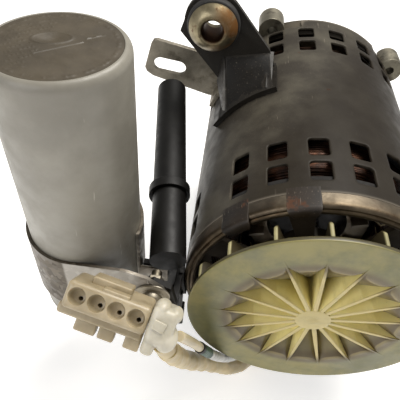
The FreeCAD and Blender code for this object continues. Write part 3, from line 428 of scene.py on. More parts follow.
# Each row's values follow its maker's arguments.
PLAIN_FINISHES = {
    painted_steel: {
        # The shell's last value is a painted shade colour for its darker side.
        "shell_paint": ((52, 48, 42), (74, 70, 61), 0.02, 0.4, 0.56, 0.55, 1.26, (28, 22, 14)),
        "bracket_paint": ((11, 9, 7), (21, 18, 14), 0.03, 0.4, 0.58, 0.06, 1.38),
        "tab_paint": ((16, 11, 7), (34, 25, 16), 0.12, 0.46, 0.64, 0.15, 1.4),
    },
    bare_metal: {
        "cast_aluminium": ((96, 84, 70), (146, 134, 118), 0.34, 0.55, 420, (62, 50, 40)),
        # Painted shade: the rear frame's part inside the shell is painted near black.
        "rear_casting": ((74, 68, 58), (112, 105, 92), 0.42, 0.6, 420, None, PAINTED_SHADE_LINE),
        # Painted shade: the front frame's web, seen in shade through the gap behind the fan, gets a dark
        # finish.
        "grimy_casting": ((40, 33, 24), (64, 54, 40), 0.5, 0.7, 420, None, None, 0.4),
        "lug_casting": ((104, 100, 88), (146, 141, 126), 0.45, 0.62, 420, (52, 46, 36)),
        "rim_metal": ((62, 52, 39), (112, 99, 80), 0.38, 0.6, 900, (72, 54, 38)),
        "tab_steel": ((104, 99, 88), (148, 142, 129), 0.42, 0.62, 600, (74, 67, 55)),
        "bearing_bronze": ((120, 86, 50), (168, 126, 78), 0.3, 0.5, 500),
        "zinc_fastener": ((96, 90, 78), (140, 132, 116), 0.4, 0.58, 700),
        "shaft_steel": ((150, 150, 152), (190, 190, 192), 0.2, 0.34, 900),
        "tinned_contact": ((120, 110, 92), (180, 172, 150), 0.28, 0.45, 700),
    },
    moulded: {
        # Painted shade: a near-black finish for the spigot, which sits in shade inside the shell.
        "soot": ((8, 6, 4), (20, 16, 12), 0.75, 0.9),
        "oil_felt": ((84, 72, 54), (118, 104, 80), 0.85, 0.95, 1600, 0.9),
        "capacitor_film": ((170, 168, 160), (200, 198, 190), 0.2, 0.4),
        "black_plastic": ((7, 6, 5), (14, 13, 11), 0.42, 0.56, 500, 0.25, 1.36),
        "black_rubber": ((22, 21, 20), (36, 34, 32), 0.6, 0.78, 900, 0.5),
        "green_sleeve": ((30, 58, 44), (44, 78, 60), 0.3, 0.45),
        "clear_film": ((176, 176, 172), (222, 222, 218), 0.14, 0.3),
        "lacing_cord": ((170, 150, 112), (196, 178, 140), 0.7, 0.85),
    },
    natural_nylon: {
        "connector_nylon": ((152, 138, 110), (174, 160, 132)),
        "lock_nylon": ((176, 170, 152), (198, 192, 176)),
        "lead_sleeving": ((172, 154, 112), (198, 180, 138)),
        "lead_wire": ((178, 166, 138), (202, 190, 162)),
    },
}
OWN_FINISHES = {
    "galvanised_steel": galvanised, "yellow_zinc": yellow_zinc, "fan_nylon": fan_nylon,
    "fan_blade": fan_blade, "capacitor_case": capacitor_case, "capacitor_lid": capacitor_lid,
    "copper_winding": copper, "lamination_steel": laminations,
}
MATERIALS = {name: maker() for name, maker in OWN_FINISHES.items()}
for finish_maker, finish_rows in PLAIN_FINISHES.items():
    for finish_name, finish_values in finish_rows.items():
        MATERIALS[finish_name] = finish_maker(finish_name, *finish_values)


# ---- shape tools ----
def new_object(name, verts, faces):
    """A mesh from places in motor millimetres."""
    mesh = bpy.data.meshes.new(name)
    mesh.from_pydata([at(*vert) for vert in verts], [], faces)
    mesh.validate()
    return show(name, mesh)


def rungs(around, levels, first=0, joined=False):
    """Faces between rings of points; joined also runs from the last ring to the first."""
    faces = []
    for level in range(levels if joined else levels - 1):
        low = first + level * around
        high = first + (level + 1) % levels * around
        for step in range(around):
            following = (step + 1) % around
            faces.append([low + step, low + following, high + following, high + step])
    return faces


def ends(around, levels):
    """The two faces that close a run of rings."""
    return [list(range(around))[::-1], [(levels - 1) * around + step for step in range(around)]]


def close_up(piece):
    """Merges meeting points and turns every face outward."""
    form = bmesh.new()
    form.from_mesh(piece.data)
    bmesh.ops.remove_doubles(form, verts=form.verts, dist=0.002 * MM)
    bmesh.ops.recalc_face_normals(form, faces=form.faces)
    form.to_mesh(piece.data)
    form.free()


def bake(piece):
    """Turns the modifiers into plain mesh."""
    graph = bpy.context.evaluated_depsgraph_get()
    mesh = bpy.data.meshes.new_from_object(piece.evaluated_get(graph))
    piece.modifiers.clear()
    piece.data = mesh


def soften(piece, width, segments=2, angle=32.0):
    """Rounds the piece's edges by a width in millimetres."""
    bevel = piece.modifiers.new("bevel", "BEVEL")
    bevel.width = width * MM
    bevel.segments = segments
    bevel.limit_method = "ANGLE"
    bevel.angle_limit = math.radians(angle)
    bevel.use_clamp_overlap = True
    normals = piece.modifiers.new("normals", "WEIGHTED_NORMAL")
    normals.keep_sharp = True
    for face in piece.data.polygons:
        face.use_smooth = True
    bake(piece)


def shade(piece, angle=36.0):
    for face in piece.data.polygons:
        face.use_smooth = True
    piece.data.set_sharp_from_angle(angle=math.radians(angle))


def settle(piece, material, body="stator", nodes=()):
    """Gives the piece its finish, its body and the CAD nodes it stands for."""
    piece.data.materials.clear()
    piece.data.materials.append(MATERIALS[material])
    if nodes:
        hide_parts(*nodes)
    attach(piece, body)
    return piece


def own_form(node, name):
    """A copy of a CAD node's mesh with its flat faces merged."""
    mesh = bpy.data.meshes.new(name)
    form = bmesh.new()
    form.from_mesh(NODES[node].data)
    bmesh.ops.remove_doubles(form, verts=form.verts, dist=0.001 * MM)
    bmesh.ops.dissolve_limit(form, angle_limit=math.radians(0.3), verts=form.verts, edges=form.edges)
    form.to_mesh(mesh)
    form.free()
    if "custom_normal" in mesh.attributes:
        mesh.attributes.remove(mesh.attributes["custom_normal"])
    return show(name, mesh)


def refined(node, material, width, segments=2, body="stator"):
    """A CAD node with rounded edges and its own finish."""
    piece = own_form(node, node + "_form")
    soften(piece, width, segments)
    return settle(piece, material, body, (node,))


def lathe(name, profile, segments=96, centre=(0.0, 0.0), axis="Y"):
    """A closed ring turned from (radius, height) corners; a radius of 0 closes to a point."""
    verts = []
    rings = []
    for radius, height in profile:
        count = 1 if radius < 1e-6 else segments
        rings.append([len(verts) + index for index in range(count)])
        for index in range(count):
            across, _, upward = polar(radius, 2 * math.pi * index / segments, height)
            first, second = centre[0] + across, centre[1] + upward
            verts.append((first, height, second) if axis == "Y" else (first, second, height))
    faces = []
    for low, high in zip(rings, rings[1:] + rings[:1]):
        for index in range(segments if len(low) + len(high) > 2 else 0):
            following = (index + 1) % segments
            corners = [low[index % len(low)], low[following % len(low)],
                       high[following % len(high)], high[index % len(high)]]
            faces.append(list(dict.fromkeys(corners)))
    piece = new_object(name, verts, faces)
    close_up(piece)
    return piece


def arc(centre, radius, angle_from, angle_to, steps=5):
    """Points along an arc, angles in degrees from the first axis."""
    points = []
    for index in range(steps + 1):
        angle = math.radians(angle_from + (angle_to - angle_from) * index / steps)
        points.append((centre[0] + radius * math.cos(angle), centre[1] + radius * math.sin(angle)))
    return points


def sweep(points, radius_at, sides, joined=False):
    """Vertices and faces of a tube; radius_at gives the radius from the share of its length and the angle."""
    count = len(points)
    verts = []
    normal = None
    for index, place in enumerate(points):
        if joined:
            heading = points[(index + 1) % count] - points[index - 1]
        else:
            heading = points[min(index + 1, count - 1)] - points[max(index - 1, 0)]
        heading.normalize()
        if normal is None:
            normal = heading.orthogonal()
        normal = (normal - heading * normal.dot(heading)).normalized()
        other = heading.cross(normal)
        for side in range(sides):
            angle = 2 * math.pi * side / sides
            radius = radius_at(index / (count - 1), angle)
            verts.append(place + (normal * math.cos(angle) + other * math.sin(angle)) * radius)
    return verts, rungs(sides, count, 0, joined) + ([] if joined else ends(sides, count))


def loop_of_wire(points, radius, sides):
    """Vertices and faces of a closed loop of round wire."""
    return sweep([Vector(point) for point in points], lambda share, angle: radius, sides, True)


def gather(name, parts):
    """One object from several (verts, faces) lists."""
    verts = []
    faces = []
    for part_verts, part_faces in parts:
        base = len(verts)
        verts.extend(part_verts)
        faces.extend([[base + corner for corner in face] for face in part_faces])
    return new_object(name, verts, faces)


def finished(piece, angle, material, nodes=()):
    """Shades a piece and gives it its finish."""
    shade(piece, angle)
    return settle(piece, material, nodes=nodes)


# ---- leads ----
SLEEVING_ROUTE = (
    (-4.0, 33.0, -82.0), (-12.0, 24.4, -84.1), (-20.7, 15.1, -81.8), (-30.1, 5.0, -73.8),
    (-46.5, -1.8, -55.6), (-58.2, -14.8, -28.0), (-65.3, -24.4, -0.5), (-67.6, -27.2, 14.0),
)
SLEEVING_DIAMETER = 9.0
LEAD_ROUTE = (
    (3.5, 33.0, -76.5), (-7.0, 25.0, -74.5), (-18.0, 16.5, -70.8), (-29.0, 8.0, -63.5),
    (-38.5, 0.0, -52.5), (-47.9, -8.6, -28.5), (-55.4, -17.8, -1.5), (-60.6, -25.6, 18.0),
)
LEAD_DIAMETER = 4.5


def lead_curve(name, route, diameter):
    curve = bpy.data.curves.new(name, "CURVE")
    curve.dimensions = "3D"
    curve.bevel_depth = diameter / 2 * MM
    curve.bevel_resolution = 8
    curve.use_fill_caps = True
    spline = curve.splines.new("NURBS")
    spline.points.add(len(route) - 1)
    for point, place in zip(spline.points, route):
        point.co = (*at(*place), 1.0)
    spline.order_u = 3
    spline.use_endpoint_u = True
    spline.resolution_u = 16
    return show(name, curve)


def line_of(piece):
    """The points that a curve runs through, in motor millimetres."""
    bare = piece.copy()
    bare.data = piece.data.copy()
    bare.data.bevel_depth = 0.0
    bpy.context.scene.collection.objects.link(bare)
    graph = bpy.context.evaluated_depsgraph_get()
    mesh = bpy.data.meshes.new_from_object(bare.evaluated_get(graph))
    points = [(vert.co - HUB) / MM for vert in mesh.vertices]
    bpy.data.objects.remove(bare)
    bpy.data.meshes.remove(mesh)
    return points


def stretch_of(points, share_from, share_to, step):
    """Evenly spaced points along part of a line."""
    lengths = [0.0]
    for before, after in zip(points, points[1:]):
        lengths.append(lengths[-1] + (after - before).length)
    total = lengths[-1]
    count = max(2, round((share_to - share_from) * total / step))
    result = []
    for index in range(count + 1):
        wanted = (share_from + (share_to - share_from) * index / count) * total
        place = max(i for i, value in enumerate(lengths) if value <= wanted + 1e-9)
        place = min(place, len(points) - 2)
        span = lengths[place + 1] - lengths[place]
        result.append(points[place].lerp(points[place + 1], (wanted - lengths[place]) / span))
    return result


def wrinkled_tube(name, points, radius_at, sides):
    """A closed tube along points."""
    piece = new_object(name, *sweep(points, radius_at, sides))
    close_up(piece)
    shade(piece, 50)
    return piece


def folded(share, angle):
    soft = 0.2 * math.sin(26 * share * math.pi + 2 * angle) * math.sin(3 * angle + 9 * share)
    fold = 0.3 * math.sin(58 * share + 1.5 * math.sin(angle)) ** 3
    return SLEEVING_DIAMETER / 2 + 0.1 + soft + fold


def snug(share, angle):
    return LEAD_DIAMETER / 2 + 0.45 + 0.12 * math.sin(34 * share + 2 * angle)


def crinkled(share, angle):
    crease = abs(math.sin(31 * share + 2.5 * angle)) * math.sin(83 * share + 3 * angle)
    return LEAD_DIAMETER / 2 + 0.3 + 0.22 * crease


def taped(share, angle):
    return LEAD_DIAMETER / 2 + 0.55


# Each covering: its name, finish, start and end along the lead, step, shape and sides.
LEAD_COVERINGS = (
    ("lead_green_sleeve", "green_sleeve", 0.60, 0.71, 0.8, snug, 20),
    ("lead_clear_sleeve", "clear_film", 0.14, 0.60, 0.4, crinkled, 18),
    ("lead_tape", "black_plastic", 0.71, 0.735, 0.8, taped, 20),
)


def add_leads():
    sleeving = lead_curve("harness_sleeving_lead", SLEEVING_ROUTE, SLEEVING_DIAMETER)
    settle(sleeving, "lead_sleeving", nodes=("harness_sleeving",))
    lead = lead_curve("second_lead_lead", LEAD_ROUTE, LEAD_DIAMETER)
    settle(lead, "lead_wire", nodes=("second_lead",))
    jacket = wrinkled_tube("sleeving_jacket", stretch_of(line_of(sleeving), 0.03, 0.93, 0.6), folded, 28)
    settle(jacket, "lead_sleeving")
    lead_line = line_of(lead)
    covers = []
    for name, material, start, end, step, shape, sides in LEAD_COVERINGS:
        covers.append(wrinkled_tube(name, stretch_of(lead_line, start, end, step), shape, sides))
        settle(covers[-1], material)


# ---- fan wheel ----
RIB_COUNT = 17
RIB_FIRST_ANGLE = -6.4
RIB_HALF_INNER = 1.15
RIB_HALF_OUTER = 0.3
DISC_THICK = 2.2
DISH_DEPTH = 18.5
DISH_BACK = 20.4
FAN_HUB_R = 8.4
FAN_HUB_REAR = 26.0
STUB_R = 4.0
STUB_FRONT = 5.0
DISH_MID_R = 39.8
POCKET_TIP_R = 44.0
RIB_TIP_R = 48.0
FLOOR_CORNER_SHARE = 0.12
WALL_LEAN = 0.04
HUB_PROFILE = ((0.9, -0.98), (1.7, -0.86), (2.3, -0.62), (2.9, -0.46), (4.2, -0.4), (5.8, -0.28),
               (7.2, -0.06), (8.0, 0.12), (8.35, 0.22))


def dish_depth(radius, edge):
    """Depth of a pocket's floor below the disc at a radius, for a pocket that ends at an edge radius."""
    run = edge - radius
    if run <= 0:
        return 0.0
    slope = DISH_DEPTH / (DISH_MID_R - FAN_HUB_R)
    depth = slope * run * run / (run + 0.6)
    return min(depth, DISH_DEPTH - 0.4)


def way_out(radius):
    """How far out along a rib a radius is, from 0 at the hub to 1 at its tip."""
    return min(max((radius - FAN_HUB_R) / (RIB_TIP_R - FAN_HUB_R), 0.0), 1.0)


def rib_columns(radius):
    """Places across one pitch at a radius: (sideways millimetres, kind, share of the pocket)."""
    half_pitch = math.pi / RIB_COUNT
    reach = radius * math.sin(half_pitch)
    half = RIB_HALF_INNER + (RIB_HALF_OUTER - RIB_HALF_INNER) * way_out(radius) ** 1.5
    half = min(half, reach * 0.8)
    width = max(reach - half, 0.05)
    right = [(0.0, "top", 0), (half * 0.5, "top", 0), (half * 0.85, "round", 0), (half, "edge", 0)]
    for share in (0.0, 0.04, FLOOR_CORNER_SHARE, 0.28, 0.5, 0.75, 1.0):
        right.append((half + WALL_LEAN + (width - WALL_LEAN) * share, "floor", share))
    left = [(-side, kind, share) for side, kind, share in right[1:-1]]
    return left[::-1] + right


def front_height(radius, kind, share):
    """How deep the front surface is below the disc's face."""
    edge = DISH_MID_R + (POCKET_TIP_R - DISH_MID_R) * (1 - share) ** 4
    depth = dish_depth(radius, edge)
    if kind == "floor":
        corner = 0.5 * (1 - min(share / FLOOR_CORNER_SHARE, 1.0)) if depth > 0.6 else 0.0
        return max(depth - corner, 0.0)
    outward = way_out(radius)
    rib_top = 0.25 - 0.75 * outward if outward < 0.8 else -0.35 * (1 - outward) / 0.2
    lowered = {"top": 0.0, "round": 0.12, "edge": 0.4}[kind] * (1 - outward)
    return min(rib_top + lowered, depth + 0.001)


def add_fan():
    """The moulded wheel's front, with ribs across a scalloped dish, and its plain back."""
    radii = [FAN_HUB_R + 0.02, FAN_HUB_R + 0.3, 9.0, 10.0, 12.0]
    radii += [12.0 + 1.3 * index for index in range(1, 18)]
    radii += [34.6 + 0.4 * index for index in range(1, 32)]
    radii += [48.0, 50.0, 53.0, 56.0, 58.0, 59.0]
    rings = []
    for radius, depth in HUB_PROFILE:
        rings.append([(radius, depth)] * len(rib_columns(radius)))
    for radius in radii:
        rings.append([(radius, front_height(radius, kind, share)) for _, kind, share in rib_columns(radius)])
    columns = len(rings[0])
    for radius, depth in ((59.75, 0.03), (59.95, 0.16), (60.0, 0.4), (60.0, 1.9), (59.8, DISC_THICK),
                          (50.0, DISC_THICK), (40.5, DISC_THICK), (25.0, 11.3), (9.6, DISH_BACK),
                          (FAN_HUB_R, DISH_BACK + 0.3), (FAN_HUB_R, FAN_HUB_REAR - 0.4),
                          (FAN_HUB_R - 0.4, FAN_HUB_REAR), (STUB_R, FAN_HUB_REAR), (STUB_R, STUB_FRONT)):
        rings.append([(radius, depth)] * columns)
    verts = [(0.0, -1.0, 0.0)]
    for ring in rings:
        for rib in range(RIB_COUNT):
            middle = math.radians(RIB_FIRST_ANGLE) + rib * 2 * math.pi / RIB_COUNT
            for (radius, depth), (side, _, _) in zip(ring, rib_columns(ring[0][0])):
                verts.append(polar(radius, middle + math.asin(max(-1.0, min(1.0, side / radius))), depth))
    around = RIB_COUNT * columns
    last = 1 + (len(rings) - 1) * around
    verts.append((0.0, STUB_FRONT, 0.0))
    faces = rungs(around, len(rings), 1)
    for step in range(around):
        following = (step + 1) % around
        faces.append([0, 1 + following, 1 + step])
        faces.append([last + step, last + following, len(verts) - 1])
    wheel = new_object("fan_wheel_form", verts, faces)
    close_up(wheel)
    shade(wheel, 42)
    settle(wheel, "fan_nylon", "rotor", ("fan_wheel", "fan_ribs"))
    refined("fan_blades", "fan_blade", 0.6, 3, "rotor")


# ---- motor ----
SHELL_WALL = 1.6
SHELL_FRONT = 22.5
SHELL_REAR = 180.0
NOTCH_FLOOR = 171.0
NOTCH_HALF_ANGLE = 16.0
LUG_ANGLES = (-27.6, 52.4, 152.4, 232.4)
PITCHES = 21
PITCH = 360.0 / PITCHES
VENT_FIRST_ANGLE = -128.571
VENT_BLANKS = (4, 11, 18)
VENT_ROWS = (36.0, 52.0, 147.0, 163.0)
VENT_HALF_WIDTH = 4.75
VENT_HALF_LENGTH = 6.0
VENT_CORNER = 1.6
CELL_HALF_LENGTH = 8.0
SIDE_STEPS = 8
TAB_ANGLES = (-44.0, -16.0, 76.0, 104.0, 196.0, 224.0)
TAB_HALF_ANGLE = 6.5
TAB_STEPS = 14
WIRE_R = 0.85
RIM_BORE = 57.9
WEB_R = 57.7
RIM_STEPS = 168
COIL_INNER, COIL_OUTER, COIL_BEVEL = 38.0, 57.5, 4.0
COIL_MIDDLE = (COIL_INNER + COIL_OUTER) / 2
COIL_ENDS = (("front_winding", 40.0, 67.8), ("rear_winding", 132.2, 160.0))
TIE_COUNT = 18
TIE_R = 0.45
TIE_SIDES = 5
WIRE_SIDES = 6
WIRE_STEPS = 96
TIE_REACH = 9.6


def rounded_side(share, half_length, corner):
    """Where a point on a rounded rectangle's side lies, as (in from the side, along it)."""
    straight = 0.6
    if abs(share) <= straight:
        return 0.0, share / straight * (half_length - corner)
    turn = math.radians((abs(share) - straight) / (1 - straight) * 45)
    along = half_length - corner + corner * math.sin(turn)
    return corner - corner * math.cos(turn), math.copysign(along, share)


def four_sides(half_width, half_length, side_at):
    """Points round a vent or its cell, side by side; side_at says how far in and how far along each lies."""
    points = []
    for turn in range(4):
        reach, run = ((half_width, half_length), (half_length, half_width))[turn % 2]
        for step in range(SIDE_STEPS):
            inward, along = side_at(-1 + 2 * step / SIDE_STEPS, run)
            across = reach - inward
            points.append(((across, along), (-along, across), (-across, -along), (along, -across))[turn])
    return points


def vent_loop(offset):
    """The vent's outline grown by an offset, as (sideways, along) points in step with the cell's border."""
    def rounded(share, run):
        return rounded_side(share, run, VENT_CORNER + offset)

    return four_sides(VENT_HALF_WIDTH + offset, VENT_HALF_LENGTH + offset, rounded)


def cell_border():
    """The border of the sheet round one vent, in even steps."""
    def straight(share, run):
        return 0.0, run * share

    return four_sides(SHELL_R * math.radians(PITCH) / 2, CELL_HALF_LENGTH, straight)


def on_shell(sideways, along, depth, middle_angle, middle_y):
    """A place on the shell from an unrolled sheet's coordinates, a depth under its skin."""
    return polar(SHELL_R - depth, math.radians(middle_angle) + sideways / SHELL_R, middle_y + along)


def vent_cell(middle_angle, middle_y):
    """One vent with its rolled edge, on both skins of the sheet."""
    loops = [(cell_border(), 0.0), (vent_loop(1.0), 0.0), (vent_loop(0.45), 0.03), (vent_loop(0.16), 0.14),
             (vent_loop(0.0), 0.45), (vent_loop(0.0), SHELL_WALL - 0.3), (vent_loop(0.25), SHELL_WALL),
             (vent_loop(1.0), SHELL_WALL), (cell_border(), SHELL_WALL)]
    verts = [on_shell(x, y, depth, middle_angle, middle_y) for loop, depth in loops for x, y in loop]
    return verts, rungs(4 * SIDE_STEPS, len(loops))


def plain_band(middle_angle, levels):
    """Both skins of a plain piece of sheet one pitch wide, with its rows at the given levels."""
    half = SHELL_R * math.radians(PITCH) / 2
    verts = []
    faces = []
    for depth in (0.0, SHELL_WALL):
        base = len(verts)
        for y in levels:
            for step in range(SIDE_STEPS + 1):
                verts.append(on_shell(-half + 2 * half * step / SIDE_STEPS, y, depth, middle_angle, 0.0))
        for row in range(len(levels) - 1):
            for step in range(SIDE_STEPS):
                corner = base + row * (SIDE_STEPS + 1) + step
                faces.append([corner, corner + 1, corner + SIDE_STEPS + 2, corner + SIDE_STEPS + 1])
    return verts, faces


def rear_band():
    """The rear edge, lower beside each lug, with the sheet's cut face."""
    columns = PITCHES * SIDE_STEPS
    levels = (NOTCH_FLOOR, 174.0, 177.0, SHELL_REAR)
    first = VENT_FIRST_ANGLE - PITCH / 2
    step_angle = PITCH / SIDE_STEPS

    def kept(column):
        middle = first + (column + 0.5) * step_angle
        return all(abs((middle - lug + 180) % 360 - 180) > NOTCH_HALF_ANGLE for lug in LUG_ANGLES)

    verts = []
    faces = []

    def quad(*corners):
        base = len(verts)
        for column, y, depth in corners:
            verts.append(polar(SHELL_R - depth, math.radians(first + column * step_angle), y))
        faces.append([base, base + 1, base + 2, base + 3])

    for column in range(columns):
        top = SHELL_REAR if kept(column) else NOTCH_FLOOR
        if kept(column):
            for low, high in zip(levels, levels[1:]):
                for depth in (0.0, SHELL_WALL):
                    quad((column, low, depth), (column + 1, low, depth),
                         (column + 1, high, depth), (column, high, depth))
        quad((column, top, 0.0), (column + 1, top, 0.0),
             (column + 1, top, SHELL_WALL), (column, top, SHELL_WALL))
        if kept(column) != kept((column + 1) % columns):
            for low, high in zip(levels, levels[1:]):
                quad((column + 1, low, 0.0), (column + 1, low, SHELL_WALL),
                     (column + 1, high, SHELL_WALL), (column + 1, high, 0.0))
    return verts, faces


def spaced(low, high, count):
    return [low + (high - low) * index / count for index in range(count + 1)]


def add_shell():
    """The rolled shell as one sheet, with a rolled edge round every vent."""
    parts = []
    for position in range(PITCHES):
        middle = VENT_FIRST_ANGLE + position * PITCH
        for row in VENT_ROWS:
            if position in VENT_BLANKS:
                levels = [row + share for share in spaced(-CELL_HALF_LENGTH, CELL_HALF_LENGTH, SIDE_STEPS)]
                parts.append(plain_band(middle, levels))
            else:
                parts.append(vent_cell(middle, row))
        parts.append(plain_band(middle, spaced(SHELL_FRONT, VENT_ROWS[0] - CELL_HALF_LENGTH, 3)))
        middle_levels = spaced(VENT_ROWS[1] + CELL_HALF_LENGTH, VENT_ROWS[2] - CELL_HALF_LENGTH, 24)
        parts.append(plain_band(middle, middle_levels))
    verts = []
    count = PITCHES * SIDE_STEPS
    for radius in (SHELL_R, SHELL_R - SHELL_WALL):
        for step in range(count):
            angle = math.radians(VENT_FIRST_ANGLE - PITCH / 2 + step * PITCH / SIDE_STEPS)
            verts.append(polar(radius, angle, SHELL_FRONT))
    parts.append((verts, rungs(count, 2)))
    parts.append(rear_band())
    piece = gather("motor_shell_form", parts)
    close_up(piece)
    finished(piece, 50, "shell_paint", ("motor_shell",))
    add_tabs()


def add_tabs():
    """The shell's crimped tabs, folded over the end frame's rim and gone rusty."""
    generator = random.Random(11)
    outline = [(SHELL_R, 26.0), (SHELL_R + 0.0, 15.2), (SHELL_R - 0.5, 13.6), (SHELL_R - 1.6, 12.9),
               (59.8, 12.8), (57.7, 13.1), (57.6, 14.0), (59.8, 14.15), (SHELL_R - 1.7, 14.2),
               (SHELL_R - 1.58, 15.6), (SHELL_R - 1.55, 26.0)]
    steps = TAB_STEPS
    parts = []
    for middle in TAB_ANGLES:
        verts = []
        lean = generator.uniform(-0.8, 0.8)
        for step in range(steps + 1):
            share = -1 + 2 * step / steps
            for radius, y in outline:
                fold = min(max((SHELL_R - radius) / 6, 0.0), 1.0)
                half = TAB_HALF_ANGLE * (1 - 0.28 * fold ** 1.5)
                angle = math.radians(middle + share * half + lean * fold)
                dent = 0.25 * math.sin(5 * share + 3 * lean) * fold
                place_r = radius + 0.35 * (share * share) * fold
                verts.append(polar(place_r, angle, y + dent * 0.5 + 0.13))
        count = len(outline)
        parts.append((verts, rungs(count, steps + 1) + ends(count, steps + 1)))
    piece = gather("shell_tabs", parts)
    close_up(piece)
    soften(piece, 0.22, 2, 50)
    settle(piece, "tab_paint")


def add_end_frames():
    """The front frame's rim is turned with a bead and a groove; web and hub keep their CAD form."""
    rim = [(RIM_BORE, 16.2), (58.1, 15.2), (58.7, 14.55), (59.4, 14.35), (60.3, 14.4), (60.75, 14.75),
           (61.0, 15.1), (61.35, 14.95), (61.9, 15.0), (62.7, 15.5), (63.2, 16.3), (63.42, 17.4),
           (63.42, 22.35), (61.75, 22.4), (61.75, 23.0), (RIM_BORE, 23.0)]
    ring = lathe("front_frame_rim", rim, RIM_STEPS)
    shade(ring, 50)
    wall = [(RIM_BORE, 23.05), (61.7, 23.05), (61.7, 33.9), (RIM_BORE, 33.9)]
    spigot = lathe("front_frame_spigot", wall, RIM_STEPS)
    shade(spigot, 50)
    # The spigot's near-black finish is painted shade.
    settle(spigot, "soot")
    settle(ring, "rim_metal")
    web = own_form("front_end_frame", "front_frame_web")
    bore = lathe("web_outline", [(0.0, 5.0), (WEB_R, 5.0), (WEB_R, 60.0), (0.0, 60.0)], RIM_STEPS)
    combine(web, bore, "INTERSECT")
    soften(web, 0.6, 3)
    # The web's dark finish is painted shade.
    settle(web, "grimy_casting", nodes=("front_end_frame",))
    refined("rear_end_frame", "rear_casting", 0.6, 3)
    refined("rear_lugs", "lug_casting", 0.8, 3)


def winding_parts(y_from, y_to, generator):
    """Wires side by side round the outside of a coil end, tied with cord."""
    inner, outer, bevel = COIL_INNER, COIL_OUTER, COIL_BEVEL
    corners = [(inner, y_from + bevel), (inner + bevel, y_from), (outer - bevel, y_from),
               (outer, y_from + bevel), (outer, y_to - bevel), (outer - bevel, y_to),
               (inner + bevel, y_to), (inner, y_to - bevel)]
    middle = (COIL_MIDDLE, (y_from + y_to) / 2)
    places = []
    for start, end in zip(corners, corners[1:] + corners[:1]):
        length = math.dist(start, end)
        count = max(1, round(length / (WIRE_R * 1.75)))
        for index in range(count):
            share = index / count
            places.append((start[0] + (end[0] - start[0]) * share, start[1] + (end[1] - start[1]) * share))
    parts = []
    for radius, y in places:
        inward = Vector((middle[0] - radius, middle[1] - y)).normalized() * (WIRE_R + 0.15)
        phase = generator.uniform(0, 6.28)
        waves = generator.choice((2, 3, 4))
        sway = generator.uniform(0.2, 0.55)
        points = []
        for index in range(WIRE_STEPS):
            angle = 2 * math.pi * index / WIRE_STEPS
            ripple = 0.5 + 0.5 * math.sin(waves * angle + phase)
            r = radius + inward.x * (1 + sway * ripple)
            points.append(polar(r, angle, y + inward.y * (1 + sway * ripple)))
        parts.append(loop_of_wire(points, WIRE_R, WIRE_SIDES))
    return parts


def lacing_parts(y_from, y_to):
    """Tying cord looped round the coil end between the slots."""
    parts = []
    middle_y = (y_from + y_to) / 2
    for index in range(TIE_COUNT):
        angle = 2 * math.pi * (index + 0.3) / TIE_COUNT
        loop = []
        for corner_r, corner_y in arc((COIL_MIDDLE, middle_y), 1.0, 0, 360, 24)[:-1]:
            away = Vector((corner_r - COIL_MIDDLE, corner_y - middle_y))
            reach_r = TIE_REACH / max(abs(away.x), 0.05)
            reach_y = ((y_to - y_from) / 2 - 0.4) / max(abs(away.y), 0.05)
            size = min(reach_r, reach_y) * 0.985
            loop.append(polar(COIL_MIDDLE + away.x * size, angle, middle_y + away.y * size))
        parts.append(loop_of_wire(loop, TIE_R, TIE_SIDES))
    return parts


def add_windings():
    generator = random.Random(7)
    for node, y_from, y_to in COIL_ENDS:
        piece = gather(node + "_wires", winding_parts(y_from, y_to, generator))
        finished(piece, 60, "copper_winding", (node,))
        ties = gather(node + "_ties", lacing_parts(y_from, y_to))
        finished(ties, 60, "lacing_cord")


# ---- capacitor ----
CAN_BOTTOM = -20.0
LID_DROP = 0.15
LID_R = CAN_R - 2.8
CAN_ROUND = (2.5, 3.4)
LID_RINGS = 84
LID_STEPS = 240
DIMPLE_PLACE = (-2.4, 3.2)
DIMPLE_HALF_LENGTH, DIMPLE_HALF_WIDTH = 6.0, 3.4
LINE_HEIGHT = 0.3
LINE_WIDTH = 0.22
DASH_RING_R = 20.6


def add_capacitor():
    top = CAN_TOP
    profile = [(CAN_R - 1.6, CAN_BOTTOM), (CAN_R - 0.3, CAN_BOTTOM), (CAN_R, CAN_BOTTOM + 0.4),
               (CAN_R, top - CAN_ROUND[1] - 0.4)]
    for step in range(9):
        turn = math.radians(90 * step / 8)
        inward, down = CAN_ROUND[0] * (1 - math.cos(turn)), CAN_ROUND[1] * (1 - math.sin(turn))
        profile.append((CAN_R - inward, top - down))
    profile += [(LID_R + 0.1, top - 0.1), (LID_R + 0.03, top - 0.5), (LID_R, top - LID_DROP - 1.5),
                (CAN_R - 2.2, top - LID_DROP - 4.0), (CAN_R - 1.6, top - LID_DROP - 4.6)]
    can = lathe("capacitor_can_form", profile, 128, CAN_CENTRE, "Z")
    finished(can, 40, "capacitor_case", ("capacitor_can",))
    add_lid(top - LID_DROP)
    refined("capacitor_base", "capacitor_case", 0.5, 2)
    refined("capacitor_terminals", "tinned_contact", 0.15, 2)


def dashes(along, across, length, width, height):
    """A raised dash in every step of a run, with a plain pattern of long, short and missing ones."""
    step = math.floor(along / length)
    place = along / length - step
    kind = (step * 7 + 3) % 5
    if kind == 0 or place > (0.4 if kind in (1, 3) else 0.75):
        return 0.0
    return height * max(0.0, 1 - (across / width) ** 2)


